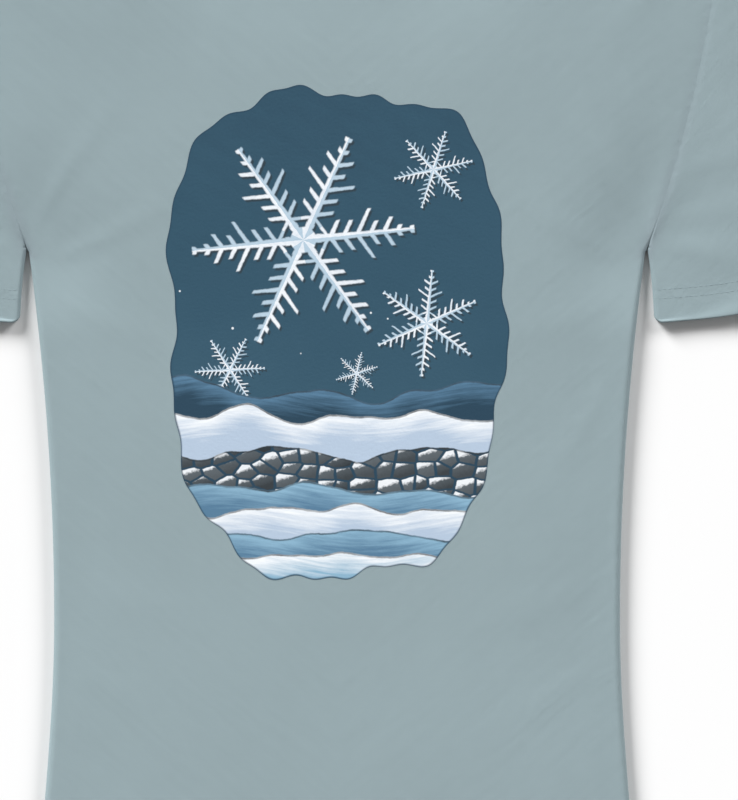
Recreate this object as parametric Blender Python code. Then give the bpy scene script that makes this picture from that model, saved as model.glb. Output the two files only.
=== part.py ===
"""A short-sleeved crew-neck T-shirt, laid flat on its back.

The shirt lies on the plane z = 0 with its front facing up and its collar towards +Y. The body is a
straight tube of jersey that is wider than the laid shirt, so each side is turned under: the front and
the back of the tube run out to the fold, round it, and back underneath to the side seam. The sleeves
are flat tubes that are turned down beside the body. A ribbed collar band goes round the neck, and a
tape covers the back neck seam inside.

Each panel is drawn as the middle surface of its cloth on a grid, and Solidify gives it its thickness.
All sizes are in metres. In the sizes below, y = 0 is the level of the underarm and x = 0 is the middle.
"""

import math

import bpy
import numpy as np

# The cloth.
JERSEY = 0.001
RIB = 0.0017
TAPE = 0.0006
SEAM_GAP = 0.0003

# The body, as it lies.
CHEST_HALF = 0.185
WAIST_HALF = 0.170
WAIST_Y = -0.219
HEM_Y = -0.447
HEM_FLARE = 0.015
FLARE_REACH = 0.159
TUBE_HALF = 0.248

# The shoulders, the neck and the armhole.
TIP = (0.2323, 0.214)
ARMHOLE_PULL = (0.2238, 0.107)
NECK_HALF = 0.092
NECK_Y = 0.262
FRONT_NECK_DROP = 0.096
BACK_NECK_DROP = 0.018
BACK_POWER = 3.5

# The sleeve: its two fold lines, each one fold radius inside the outline, and its hem between them.
SLEEVE_ARMPIT = (0.1892, 0.0012)
SLEEVE_INNER = (0.1930, -0.0395)
SLEEVE_OUTER = (0.3380, -0.0072)
SLEEVE_TOP_Y = 0.2119
SHOULDER_ROUND = (0.0359, -0.0124)
OUTER_EDGE_PULL = (-0.0432, 0.1116)
HEM_PULL = (0.2670, -0.0368)

# The collar band, from its seam to its inner edge.
BAND_SEAM_HALF = 0.090
BAND_SEAM_Y = 0.264
BAND_EDGE_HALF = 0.0755
BAND_EDGE_Y = 0.280
BAND_FRONT_SEAM_DROP = 0.0977
BAND_BACK_SEAM_DROP = 0.0197
BAND_FRONT_EDGE_DROP = 0.095
BAND_BACK_EDGE_DROP = 0.0165
BAND_LIFT = 0.0008

# The tape inside the back neck.
TAPE_WIDTH = 0.009
TAPE_END_ANGLE = math.radians(24)

# Heights of the cloth's middle surface above the floor.
FLOOR_LAYER = JERSEY / 2
BACK_FLAP_Z = 0.0022
FLAP_END_Z = 0.0018
BACK_SIDE_Z = 0.0051
FRONT_SIDE_Z = 0.0075
SLEEVE_FOLD_Z = 0.0039
SLEEVE_BACK_Z = FLOOR_LAYER + 0.00002
SHOULDER_FRONT_Z = 0.0031
SHOULDER_BACK_Z = 0.00175
NECK_FRONT_Z = 0.0065
HEM_FRONT_Z = 0.0090
CHEST_Z = 0.0125
SLEEVE_MID_Z = 0.0090
SLEEVE_HEM_Z = 0.0070
ARMPIT_Z = 0.0043
ARMHOLE_RISE = 0.0038
BAND_SHOULDER_Z = 0.0034
BAND_BACK_Z = 0.0010

# How far each edge's height reaches into the cloth.
SIDE_REACH = 0.025
ARMHOLE_REACH = 0.022
SHOULDER_REACH = 0.024
NECK_REACH = 0.030
HEM_REACH = 0.040
SLEEVE_FOLD_REACH = 0.015
SLEEVE_HEM_REACH = 0.030

# The turned-under sides end below the underarm, and narrow towards that end.
FLAP_TOP_Y = -0.014
FLAP_FULL_Y = -0.080
FLAP_END_WIDTH = 0.012

# Grid sizes.
BODY_ROWS = 11
CHEST_ROWS = 9
SLEEVE_ROWS = 8
FOLD_STEPS = 6
FLAP_STEPS = 3
NECK_STEPS = 9
FRONT_COLUMNS = np.concatenate([np.linspace(0, 0.5, NECK_STEPS + 1), [0.64, 0.78, 0.91, 1.0]])
BACK_COLUMNS = np.linspace(0, 1, NECK_STEPS + 1)

# The whole shirt's middle, which the origin is moved to.
COLLAR_TOP_Y = 0.28117
MIDDLE_Y = (HEM_Y + COLLAR_TOP_Y) / 2


# ---------------------------------------------------------------- outlines


def smooth_step(x, start, end):
    """0 before start, 1 after end, and an S curve between them."""
    t = np.clip((x - start) / (end - start), 0, 1)
    return t * t * (3 - 2 * t)


def quadratic(start, pull, end, t):
    """A quadratic Bezier curve at t."""
    t = np.asarray(t, float)[..., None]
    return (1 - t) ** 2 * np.array(start) + 2 * t * (1 - t) * np.array(pull) + t**2 * np.array(end)


def cubic(start, pull_a, pull_b, end, t):
    """A cubic Bezier curve at t."""
    t = np.asarray(t, float)[..., None]
    return (
        (1 - t) ** 3 * np.array(start)
        + 3 * t * (1 - t) ** 2 * np.array(pull_a)
        + 3 * t**2 * (1 - t) * np.array(pull_b)
        + t**3 * np.array(end)
    )


def body_half(y):
    """Half the width of the laid body: narrowest at the waist, wider to the chest and to the hem."""
    rise = y - WAIST_Y
    up = (CHEST_HALF - WAIST_HALF) * (rise / -WAIST_Y) ** 2
    down = HEM_FLARE * (1 - np.exp(-((rise / FLARE_REACH) ** 2)))
    return WAIST_HALF + np.where(rise > 0, up, down)


def armhole(t):
    """The armhole seam, from the underarm to the tip of the shoulder."""
    return quadratic((CHEST_HALF, 0), ARMHOLE_PULL, TIP, t)


def hang(turn, half, top, drop, deep):
    """A neck line that hangs between the two neck points, as turn runs from 0 to pi.

    A deep one, at the front, is half an ellipse. The shallow one at the back is a power curve.
    """
    x = half * np.cos(turn)
    fall = np.sin(turn) if deep else 1 - np.abs(np.cos(turn)) ** BACK_POWER
    return np.stack([x, top - drop * fall], axis=-1)


def neck(turn, deep):
    """The neck seam of the front (deep) or of the back."""
    return hang(turn, NECK_HALF, NECK_Y, FRONT_NECK_DROP if deep else BACK_NECK_DROP, deep)


def sleeve_armhole(t):
    """The sleeve's side of the armhole seam, between the sleeve's two folds."""
    t_low, t_high = SLEEVE_ARMPIT[1] / TIP[1], SLEEVE_TOP_Y / TIP[1]
    along = armhole(t_low + (t_high - t_low) * np.asarray(t, float))
    return along + (1 - np.asarray(t, float)[..., None]) ** 8 * (
        np.array(SLEEVE_ARMPIT) - along
    ) + np.array([SEAM_GAP, 0])


def sleeve_outer_fold(t):
    """The fold along the top of the sleeve, from the shoulder to the hem."""
    start = sleeve_armhole(1.0)
    return cubic(
        start,
        start + np.array(SHOULDER_ROUND),
        np.array(SLEEVE_OUTER) + np.array(OUTER_EDGE_PULL),
        SLEEVE_OUTER,
        t,
    )


def sleeve_inner_fold(t):
    """The short fold between the underarm and the inner corner of the sleeve's hem."""
    t = np.asarray(t, float)[..., None]
    return (1 - t) * sleeve_armhole(0.0) + t * np.array(SLEEVE_INNER)


def sleeve_hem(t):
    """The sleeve's hem, from its inner fold to its outer fold."""
    return quadratic(SLEEVE_INNER, HEM_PULL, SLEEVE_OUTER, t)


def patch(bottom, top, left, right, u, v):
    """A Coons patch between four curves: u runs from left to right and v from bottom to top."""
    u, v = u[None, :, None], v[:, None, None]
    low, high = bottom[None, :, :], top[None, :, :]
    near, far = left[:, None, :], right[:, None, :]
    corners = (
        (1 - u) * (1 - v) * low[:, :1]
        + u * (1 - v) * low[:, -1:]
        + (1 - u) * v * high[:, :1]
        + u * v * high[:, -1:]
    )
    return (1 - v) * low + v * high + (1 - u) * near + u * far - corners


# ---------------------------------------------------------------- heights


def distance(points, line):
    """How far each point is from a line given by the points along it."""
    start, step = line[:-1], np.diff(line, axis=0)
    apart = points[..., None, :] - start
    share = np.clip((apart * step).sum(-1) / (step * step).sum(-1), 0, 1)
    return np.linalg.norm(apart - share[..., None] * step, axis=-1).min(-1)


def settle(middle, edges):
    """The height of cloth that is held at its edges: each edge is (distance, height, reach, hold).

    Near an edge the cloth takes that edge's height, and where two edges meet, the one that holds more
    strongly wins. Away from all of them it rises to the middle height.
    """
    free, weights, heights = 1.0, 0.0, 0.0
    for away, height, reach, hold in edges:
        near = np.exp(-away / reach)
        free = free * (1 - near)
        weight = hold * near / (1 - near + 1e-6)
        weights = weights + weight
        heights = heights + weight * height
    return middle * free + (1 - free) * heights / np.maximum(weights, 1e-12)


def armhole_height(y):
    """The armhole seam sinks at the underarm and at the shoulder, and rises between them."""
    from_armpit = 1 - np.exp(-np.maximum(y, 0) / 0.035)
    at_tip = np.exp(-np.maximum(TIP[1] - y, 0) / 0.022)
    free = ARMPIT_Z + ARMHOLE_RISE * from_armpit
    return free + (SLEEVE_FOLD_Z - free) * at_tip


SAMPLES = np.linspace(0, 1, 60)
SIDE_Y = HEM_Y + (0 - HEM_Y) * SAMPLES
SIDE_LINE = np.stack([body_half(SIDE_Y) - FRONT_SIDE_Z / 2 - FLOOR_LAYER / 2, SIDE_Y], axis=-1)
ARMHOLE_LINE = armhole(SAMPLES)
SHOULDER_LINE = quadratic((NECK_HALF, NECK_Y), (NECK_HALF, NECK_Y), TIP, SAMPLES)
NECK_LINE = neck(SAMPLES * math.pi, True)
OUTER_LINE = sleeve_outer_fold(SAMPLES)
INNER_LINE = sleeve_inner_fold(SAMPLES)
SLEEVE_HEM_LINE = sleeve_hem(SAMPLES)


def front_height(points):
    """The front's middle surface over the floor, from plan points."""
    x, y = np.abs(points[..., 0]), points[..., 1]
    half = np.stack([x, y], axis=-1)
    neck_z = NECK_FRONT_Z - (NECK_FRONT_Z - SHOULDER_FRONT_Z) * np.minimum(x / NECK_HALF, 1) ** 2
    return settle(
        CHEST_Z,
        [
            (distance(half, SIDE_LINE), FRONT_SIDE_Z, SIDE_REACH, 1000),
            (distance(half, ARMHOLE_LINE), armhole_height(y), ARMHOLE_REACH, 30),
            (distance(half, SHOULDER_LINE), SHOULDER_FRONT_Z, SHOULDER_REACH, 30),
            (distance(half, NECK_LINE), neck_z, NECK_REACH, 3),
            (y - HEM_Y, HEM_FRONT_Z, HEM_REACH, 1),
        ],
    )


def sleeve_height(points):
    """The middle surface of the sleeve's upper layer."""
    y = points[..., 1]
    return settle(
        SLEEVE_MID_Z,
        [
            (distance(points, INNER_LINE), SLEEVE_FOLD_Z, SLEEVE_FOLD_REACH, 1000),
            (distance(points, OUTER_LINE), SLEEVE_FOLD_Z, SLEEVE_FOLD_REACH, 1000),
            (distance(points, ARMHOLE_LINE), armhole_height(y), ARMHOLE_REACH, 30),
            (distance(points, SLEEVE_HEM_LINE), SLEEVE_HEM_Z, SLEEVE_HEM_REACH, 1),
        ],
    )


def flap_width(y):
    """How wide the turned-under side is: what the tube has left over, less towards the underarm."""
    full = 2 * (TUBE_HALF - body_half(y)) - (TUBE_HALF - body_half(y))
    taper = smooth_step(y, FLAP_TOP_Y, FLAP_FULL_Y)
    return FLAP_END_WIDTH + (full - FLAP_END_WIDTH) * taper


def flap_end(y):
    """The x of the side seam under the shirt."""
    return body_half(y) - flap_width(y)


def back_height(points):
    """The back's middle surface: on the floor in the middle, and over the turned-under sides."""
    x, y = np.abs(points[..., 0]), points[..., 1]
    end = flap_end(np.minimum(y, FLAP_TOP_Y))
    on_flap = smooth_step(x, end - 0.014, end + 0.004) * smooth_step(y, -FLAP_TOP_Y, FLAP_TOP_Y)
    at_shoulder = np.exp(-distance(np.stack([x, y], axis=-1), SHOULDER_LINE) / 0.010)
    return (
        FLOOR_LAYER
        + (BACK_SIDE_Z - FLOOR_LAYER) * on_flap
        + (SHOULDER_BACK_Z - FLOOR_LAYER) * at_shoulder
    )


# ---------------------------------------------------------------- panels


def side_turn(y, top_z, bottom_z, inset, end_z):
    """The path round one side fold and along the flap, as (x, z) for each row: from the fold's top."""
    radius = (top_z - bottom_z) / 2
    centre_x = body_half(y) - inset
    turn = np.linspace(math.pi / 2, -math.pi / 2, FOLD_STEPS + 1)[1:]
    fold_x = centre_x[:, None] + radius * np.cos(turn)
    fold_z = np.broadcast_to(bottom_z + radius + radius * np.sin(turn), fold_x.shape)
    share = np.linspace(0, 1, FLAP_STEPS + 1)[1:]
    flap_x = centre_x[:, None] + (flap_end(y) - centre_x)[:, None] * share
    flap_z = np.broadcast_to(bottom_z + (end_z - bottom_z) * share**3, flap_x.shape)
    return np.hstack([fold_x, flap_x]), np.hstack([fold_z, flap_z])


def neck_turns():
    """The angles of the points round half of a neck seam, which the panels and the band share."""
    return np.linspace(math.pi / 2, 0, NECK_STEPS + 1)


def upper_part(half_shares, deep):
    """The plan of a body panel above the underarm: a patch up to the shoulders and the neck."""
    side = armhole(np.linspace(0, 1, CHEST_ROWS))
    corner = half_shares[NECK_STEPS]
    along = (half_shares[NECK_STEPS + 1 :, None] - corner) / (1 - corner)
    shoulder = np.array([NECK_HALF, NECK_Y]) * (1 - along) + np.array(TIP) * along
    half = np.concatenate([neck(neck_turns(), deep), shoulder])
    mirror = np.array([-1, 1])
    high = np.concatenate([half[:0:-1] * mirror, half])
    shares = np.concatenate([-half_shares[:0:-1], half_shares])
    low = np.stack([shares * CHEST_HALF, np.zeros_like(shares)], axis=-1)
    return patch(low, high, side * mirror, side, (shares + 1) / 2, np.linspace(0, 1, CHEST_ROWS))


def body_panel(columns, height, deep, top_z, bottom_z, inset, end_z):
    """A front or back panel as a grid of points, with a mask of the cells that are cloth.

    Its rows run from the hem to the shoulders. Its columns run across the shirt: the left flap and
    fold, the part that faces up, then the right fold and flap. Above the flaps' top the outer
    columns are empty.
    """
    rows = np.linspace(HEM_Y, FLAP_TOP_Y, BODY_ROWS)
    half = columns(rows) * (body_half(rows) - inset)[:, None]
    lower = np.stack([np.hstack([-half[:, :0:-1], half]), np.broadcast_to(rows[:, None], (
        len(rows), 2 * half.shape[1] - 1))], axis=-1)
    upper = upper_part(columns(np.zeros(1))[0], deep)
    plan = np.concatenate([lower, upper])
    middle = np.concatenate([plan, height(plan)[..., None]], axis=-1)
    turn_x, turn_z = side_turn(rows, top_z, bottom_z, inset, end_z)
    right = np.stack([turn_x, np.broadcast_to(rows[:, None], turn_x.shape), turn_z], axis=-1)
    middle[: len(rows), [0, -1], 2] = top_z
    sides = np.full((len(middle), right.shape[1], 3), np.nan)
    sides[: len(rows)] = right
    left = sides[:, ::-1] * np.array([-1, 1, 1])
    points = np.concatenate([left, middle, sides], axis=1)
    return points


def front_columns(rows):
    return np.broadcast_to(FRONT_COLUMNS, (len(rows), len(FRONT_COLUMNS)))


def back_columns(rows):
    """Columns that follow the flap's end, so that the step over it is well drawn."""
    edge = body_half(rows) - FRONT_SIDE_Z / 2
    end = flap_end_line(rows)
    middle = BACK_COLUMNS * (end - 0.016)[:, None]
    step = end[:, None] + np.array([-0.010, -0.004, 0.003])
    outer = edge[:, None] + (end - edge)[:, None] * np.array([0.4, 0.0])
    return np.hstack([middle, step, outer]) / edge[:, None]


def flap_end_line(rows):
    """The flap's end without its taper, for columns that stay apart all the way up."""
    return 2 * body_half(rows) - TUBE_HALF


def grid_faces(points, closed=False):
    """Quads between neighbouring points of a grid, leaving out those with an empty corner."""
    rows, columns = points.shape[:2]
    index = np.arange(rows * columns).reshape(rows, columns)
    if closed:
        index = np.hstack([index, index[:, :1]])
    quads = np.stack([index[:-1, :-1], index[:-1, 1:], index[1:, 1:], index[1:, :-1]], axis=-1)
    quads = quads.reshape(-1, 4)
    empty = np.isnan(points.reshape(-1, 3)[:, 0])
    return quads[~empty[quads].any(axis=1)]


def make_cloth(name, points, thickness, material, closed=False, flipped=False):
    """Makes one sub-part from its grid: drops the unused points and thickens the surface."""
    quads = grid_faces(points, closed)
    used, quads = np.unique(quads, return_inverse=True)
    quads = quads.reshape(-1, 4)
    places = points.reshape(-1, 3)[used] - np.array([0, MIDDLE_Y, 0])
    if flipped:
        quads = quads[:, ::-1]
    mesh = bpy.data.meshes.new(name)
    mesh.from_pydata(places.tolist(), [], quads.tolist())
    mesh.materials.append(material)
    mesh.shade_smooth()
    obj = bpy.data.objects.new(name, mesh)
    bpy.context.scene.collection.objects.link(obj)
    thick = obj.modifiers.new("cloth", "SOLIDIFY")
    thick.thickness = thickness
    thick.offset = 0
    thick.use_even_offset = True
    thick.use_rim = True
    obj.parent = bpy.data.objects["t_shirt"]
    return obj


def make_body(material):
    front = body_panel(
        front_columns,
        front_height,
        True,
        FRONT_SIDE_Z,
        FLOOR_LAYER,
        FRONT_SIDE_Z / 2 + FLOOR_LAYER / 2,
        FLOOR_LAYER,
    )
    make_cloth("front_panel", front, JERSEY, material)
    back = body_panel(
        back_columns,
        back_height,
        False,
        BACK_SIDE_Z,
        BACK_FLAP_Z,
        FRONT_SIDE_Z / 2 + FLOOR_LAYER / 2 + SEAM_GAP,
        FLAP_END_Z,
    )
    make_cloth("back_panel", back, JERSEY, material)


def outward(line, side):
    """The plan direction square to a line, on its left (1) or its right (-1)."""
    along = np.gradient(line, axis=0)
    along /= np.linalg.norm(along, axis=1, keepdims=True)
    return side * np.stack([-along[:, 1], along[:, 0]], axis=-1)


def make_sleeve(name, side, material):
    """A sleeve is a closed tube: upper layer, outer fold, lower layer, inner fold."""
    across, down = np.linspace(0, 1, 9), np.linspace(0, 1, SLEEVE_ROWS)
    inner, outer = sleeve_inner_fold(down), sleeve_outer_fold(down)
    plan = patch(sleeve_armhole(across), sleeve_hem(across), inner, outer, across, down)
    upper = np.concatenate([plan, sleeve_height(plan)[..., None]], axis=-1)
    upper[:, [0, -1], 2] = SLEEVE_FOLD_Z
    lower = plan[:, ::-1]
    lower = np.concatenate([lower, np.full(lower.shape[:2] + (1,), SLEEVE_BACK_Z)], axis=-1)
    radius = (SLEEVE_FOLD_Z - SLEEVE_BACK_Z) / 2
    turn = np.linspace(math.pi / 2, -math.pi / 2, FOLD_STEPS)[1:-1]

    def fold(line, direction, angles):
        flat = line[:, None, :] + radius * direction[:, None, :] * np.cos(angles)[:, None]
        rise = np.broadcast_to(SLEEVE_BACK_Z + radius + radius * np.sin(angles), flat.shape[:2])
        return np.concatenate([flat, rise[..., None]], axis=-1)

    outer_fold = fold(outer, outward(outer, 1), turn)
    inner_fold = fold(inner, outward(inner, -1), -turn)
    ring = np.concatenate([upper, outer_fold, lower, inner_fold], axis=1)
    ring = ring * np.array([side, 1, 1])
    make_cloth(name, ring, JERSEY, material, closed=True, flipped=side > 0)


def make_collar(material):
    """The rib band: a ring of straight lines from the seam to the inner edge, folded at the shoulders."""
    half_turn = neck_turns()
    front = np.concatenate([half_turn[::-1], math.pi - half_turn[1:]])
    back = front[::-1]
    across = np.linspace(0, 1, 4)[:, None]
    radius = (BAND_SHOULDER_Z - BAND_BACK_Z) / 2

    def half(turn, seam_drop, edge_drop, deep):
        seam = hang(turn, BAND_SEAM_HALF, BAND_SEAM_Y, seam_drop, deep)
        edge = hang(turn, BAND_EDGE_HALF, BAND_EDGE_Y, edge_drop, deep)
        return (1 - across[..., None]) * seam + across[..., None] * edge

    front_plan = half(front, BAND_FRONT_SEAM_DROP, BAND_FRONT_EDGE_DROP, True)
    rise = (NECK_FRONT_Z - BAND_SHOULDER_Z) * np.sin(front) ** 2
    front_z = BAND_SHOULDER_Z + rise + BAND_LIFT * across * np.sin(front)
    back_plan = half(back, BAND_BACK_SEAM_DROP, BAND_BACK_EDGE_DROP, False)
    back_z = np.full(back_plan.shape[:2], BAND_BACK_Z)

    line = np.array([BAND_EDGE_HALF - BAND_SEAM_HALF, BAND_EDGE_Y - BAND_SEAM_Y])
    square = np.array([line[1], -line[0]]) / np.linalg.norm(line)
    turn = np.linspace(math.pi / 2, -math.pi / 2, FOLD_STEPS)[1:-1]

    def fold(plan, direction, angles):
        flat = plan[:, None, :] + radius * direction * np.cos(angles)[None, :, None]
        rise = np.broadcast_to(BAND_BACK_Z + radius + radius * np.sin(angles), flat.shape[:2])
        return np.concatenate([flat, rise[..., None]], axis=-1)

    left_fold = fold(front_plan[:, -1], square * np.array([-1, 1]), turn)
    right_fold = fold(back_plan[:, -1], square, -turn)
    ring = np.concatenate(
        [
            np.concatenate([front_plan, front_z[..., None]], axis=-1),
            left_fold,
            np.concatenate([back_plan, back_z[..., None]], axis=-1),
            right_fold,
        ],
        axis=1,
    )
    make_cloth("collar", ring, RIB, material, closed=True)


def make_neck_tape(material):
    """The tape over the back neck seam, on the inside of the back panel."""
    turn = np.linspace(TAPE_END_ANGLE, math.pi - TAPE_END_ANGLE, 17)
    top = neck(turn, False) - np.array([0, 2 * SEAM_GAP])
    width = np.linspace(0, TAPE_WIDTH, 3)[:, None, None]
    plan = top - width * np.array([0, 1])
    lift = JERSEY / 2 + SEAM_GAP + TAPE / 2
    points = np.concatenate([plan, (back_height(plan) + lift)[..., None]], axis=-1)
    make_cloth("neck_tape", points, TAPE, material, flipped=True)


# ---------------------------------------------------------------- materials


def fabric(name, colour, roughness):
    material = bpy.data.materials.new(name)
    material.use_nodes = True
    shader = material.node_tree.nodes["Principled BSDF"]
    shader.inputs["Base Color"].default_value = (*colour, 1)
    shader.inputs["Roughness"].default_value = roughness
    shader.inputs["Metallic"].default_value = 0
    return material


def main():
    for obj in list(bpy.data.objects):
        bpy.data.objects.remove(obj)
    shirt = bpy.data.objects.new("t_shirt", None)
    bpy.context.scene.collection.objects.link(shirt)
    jersey = fabric("jersey", (0.31, 0.40, 0.43), 0.9)
    rib = fabric("rib", (0.30, 0.39, 0.42), 0.9)
    tape = fabric("tape", (0.33, 0.42, 0.45), 0.85)
    make_body(jersey)
    make_sleeve("sleeve_right", 1, jersey)
    make_sleeve("sleeve_left", -1, jersey)
    make_collar(rib)
    make_neck_tape(tape)


main()
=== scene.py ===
import math

import bpy
import numpy as np
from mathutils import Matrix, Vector


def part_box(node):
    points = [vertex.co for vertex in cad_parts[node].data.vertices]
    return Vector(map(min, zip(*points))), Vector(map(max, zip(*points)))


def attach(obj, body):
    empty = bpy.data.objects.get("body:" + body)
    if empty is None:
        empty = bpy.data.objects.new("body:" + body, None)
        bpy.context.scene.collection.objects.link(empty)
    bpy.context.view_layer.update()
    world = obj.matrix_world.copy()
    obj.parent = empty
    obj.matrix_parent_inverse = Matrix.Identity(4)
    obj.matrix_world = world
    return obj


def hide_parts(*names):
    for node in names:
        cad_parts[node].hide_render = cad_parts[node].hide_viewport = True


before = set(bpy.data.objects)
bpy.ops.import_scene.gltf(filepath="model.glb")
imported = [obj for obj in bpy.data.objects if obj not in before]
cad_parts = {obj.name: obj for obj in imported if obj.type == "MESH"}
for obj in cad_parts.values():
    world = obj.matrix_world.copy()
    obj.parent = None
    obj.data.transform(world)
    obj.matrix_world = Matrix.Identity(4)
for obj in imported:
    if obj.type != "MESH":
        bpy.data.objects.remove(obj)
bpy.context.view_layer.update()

# A short-sleeved crew-neck T-shirt of light jersey, laid flat on its back with its sides turned under
# and its sleeves turned down. Lengths are in metres. The shirt is drawn in its own plan, where x = 0 is
# its middle and y = 0 is the level of the underarm, and moved to the frame's place at the end.

# The cloth's thickness, the gap that two edges leave at a seam, and the radius of the curl that takes
# an edge down into it. At the armhole the edges bend down by a slight angle only, except that they
# are as round as a fold at the underarm, which fades over a share of the seam.
CLOTH = 0.0007
SEAM_GAP = 0.00004
SEAM_CURL = 0.00045
ARMHOLE_GAP = -0.00005
ARMHOLE_CURL = 0.0018
ARMHOLE_DIVE = math.radians(11)
ARMHOLE_FOLD_SHARE = 0.035

# The body, as it lies: half its width at the chest and at the waist, the flare of its hem, and half the
# width of the tube that it makes when its sides aren't turned under.
CHEST_HALF = 0.185
WAIST_HALF = 0.170
WAIST_Y = -0.219
HEM_Y = -0.447
HEM_FLARE = 0.015
FLARE_REACH = 0.159
TUBE_HALF = 0.248
UNDERARM_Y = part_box("front_panel")[0].y - HEM_Y

# The turned-under sides: their least width, the levels between which they widen to the full one, and
# how the back steps up over them, by the distance from their edge and by the level.
FLAP_LEAST = 0.010
FLAP_TOP_Y, FLAP_FULL_Y = -0.012, -0.085
BACK_STEP_IN, BACK_STEP_OUT = 0.016, 0.004
BACK_STEP_TOP_Y, BACK_STEP_FULL_Y = 0.012, -0.014

# Shoulders, neck and armhole. TIP is the outer end of the shoulder seam.
TIP = np.array([0.2323, 0.214])
ARMHOLE_PULL = np.array([0.2238, 0.107])
NECK_HALF = 0.092
NECK_Y = 0.262
NECK_POINT = np.array([NECK_HALF, NECK_Y])
FRONT_NECK_DROP = 0.096
BACK_NECK_DROP = 0.018
BACK_POWER = 3.5

# The sleeve's corners, and the controls that bend its fold lines and its hem.
SLEEVE_ARMPIT = np.array([0.1890, 0.0036])
SLEEVE_INNER_PULL = np.array([0.1918, -0.0100])
SLEEVE_INNER = np.array([0.1934, -0.0395])
SLEEVE_OUTER = np.array([0.3380, -0.0072])
SHOULDER_ROUND = np.array([0.0359, -0.0124])
OUTER_EDGE_PULL = np.array([-0.0432, 0.1116])
HEM_PULL = np.array([0.2670, -0.0368])
SLEEVE_TOP_SHARE = 1 - 0.0068
SLEEVE_START_SHARE = 0.011

# The hems' rounded corners: their radius, and how far up their effect reaches, in radii.
CORNER_ROUND = 0.0042
CORNER_FADE = 1.6

# Slow waves along the hems, in plan and in height, each as rise, rate and phase, and the length over
# which those in plan fade upwards. A sleeve's wave takes its phase from the sleeve's seed.
HEM_WANDER = ((0.0006, 23, 1.1), (0.0003, 71, 0))
HEM_WANDER_REACH = 0.05
HEM_WAVES = ((0.0011, 41, 0.6), (0.0006, 93, 2.0))
SLEEVE_HEM_WAVE = (0.0006, 88)

# The corners where the neck edge meets the shoulder: by what share the cloth's inset is less beside the
# band's fold, over how much of the neck's turn, and the columns on either side over which the neck's
# curl grows into the shoulder's fold. The armhole's edge is led to the shoulder's by a power of the
# way up.
BAND_CORNER_SHARE, BAND_CORNER_REACH = 0.8, 0.2
BAND_CORNER_COLUMNS = (-1.5, 4)
TIP_POWER = 12

# The collar band: its inner edge, its thickness and heights, its ribs and their loops, and how many
# points its lines, shoulder folds, faces and edges have.
BAND_EDGE_HALF = 0.0755
BAND_EDGE_Y = 0.280
BAND_FRONT_EDGE_DROP = 0.095
BAND_BACK_EDGE_DROP = 0.0165
BAND_EDGE_LIFT = 0.0012
BAND_SEAM_IN = 0.00005
BAND_HALF_THICK = 0.00068
BAND_FRONT_Z = 0.0034
BAND_BACK_Z = 0.0010
BAND_SINK = 0.0008
RIB_PITCH = 0.0017
RIB_RISE = 0.00016
RIB_POWER = 0.8
RIB_START = 0.09
RIB_STEPS = 4
LOOP_PITCH = 0.00085
BAND_LINE_POINTS, BAND_FOLD_POINTS = 181, 13
BAND_FACE_POINTS, BAND_ROUND_POINTS = 9, 7

# The neck tape: its width and thickness, how far round the neck it starts, how it lies, and how far its
# stitches lie above its middle.
TAPE_WIDTH = 0.0102
TAPE_THICK = 0.00055
TAPE_START = math.radians(24)
TAPE_BELOW_SEAM = 0.0006
TAPE_CLEARANCE = 0.00045
TAPE_BOW = 0.0002
TAPE_LINES = 8
TAPE_POINTS = 90
TAPE_STITCH_Z = 0.00027

# Heights of the cloth's middle surface above the floor, and the radii of its folds. FOLD_REACH is how
# far below the underarm a side fold takes to reach its full radius.
FLOOR_Z = CLOTH / 2 + 0.0003
SIDE_FOLD_RADIUS = 0.00365
ARMPIT_FOLD_RADIUS = 0.0022
EDGE_FOLD_RADIUS = 0.0022
BACK_FOLD_RADIUS = 0.00145
BACK_PIT_RADIUS = 0.0006
BACK_INSET = 0.0002
FOLD_REACH = 0.050
HEM_FLAP_RISE = 0.0007
HEM_SIDE_DROP = 0.0004
HEM_CLEAR_FROM, HEM_CLEAR_TO = 0.05, 0.03
NECK_FRONT_Z = 0.0078
CHEST_Z = 0.0093
HEM_FRONT_Z = 0.0062
HEM_FLAP_Z = 0.0086
HEM_FLAP_FROM, HEM_FLAP_TO = 0.070, 0.112
SLEEVE_MID_Z = 0.0069
SLEEVE_HEM_Z = 0.0061
ARMHOLE_START_RISE = 0.0004
ARMHOLE_RISE = 0.0019
ARMHOLE_RISE_REACH = 0.045
TIP_REACH = 0.022
ARMHOLE_DIP = 0.0003
NECK_DIP = 0.0006
DIP_REACH = 0.0026

# How each edge holds the cloth: its reach, and its hold against the other edges.
SIDE_HOLD = (0.034, 1000)
ARMHOLE_HOLD = (0.030, 30)
SHOULDER_HOLD = (0.032, 30)
NECK_HOLD = (0.038, 3)
HEM_HOLD = (0.060, 1)
SLEEVE_FOLD_HOLD = (0.024, 1000)
SLEEVE_HEM_HOLD = (0.042, 1)

# How far in from a fold and from a seam the cloth's soft folds have their full height, and how far in
# from a fold a seam's dip has its full depth.
FRONT_FOLD_CLEAR, FRONT_SEAM_CLEAR = 0.022, 0.014
SLEEVE_FOLD_CLEAR, SLEEVE_SEAM_CLEAR = 0.014, 0.010
DIP_CLEAR = 0.010

# The cloth's gentle unevenness: how many waves it is made of, the shortest, the longest and their rise.
FRONT_SWELL_SEED = 3
FRONT_SWELL = (7, 0.090, 0.210, 0.00030)
SLEEVE_SWELL = (5, 0.060, 0.140, 0.00025)

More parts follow.
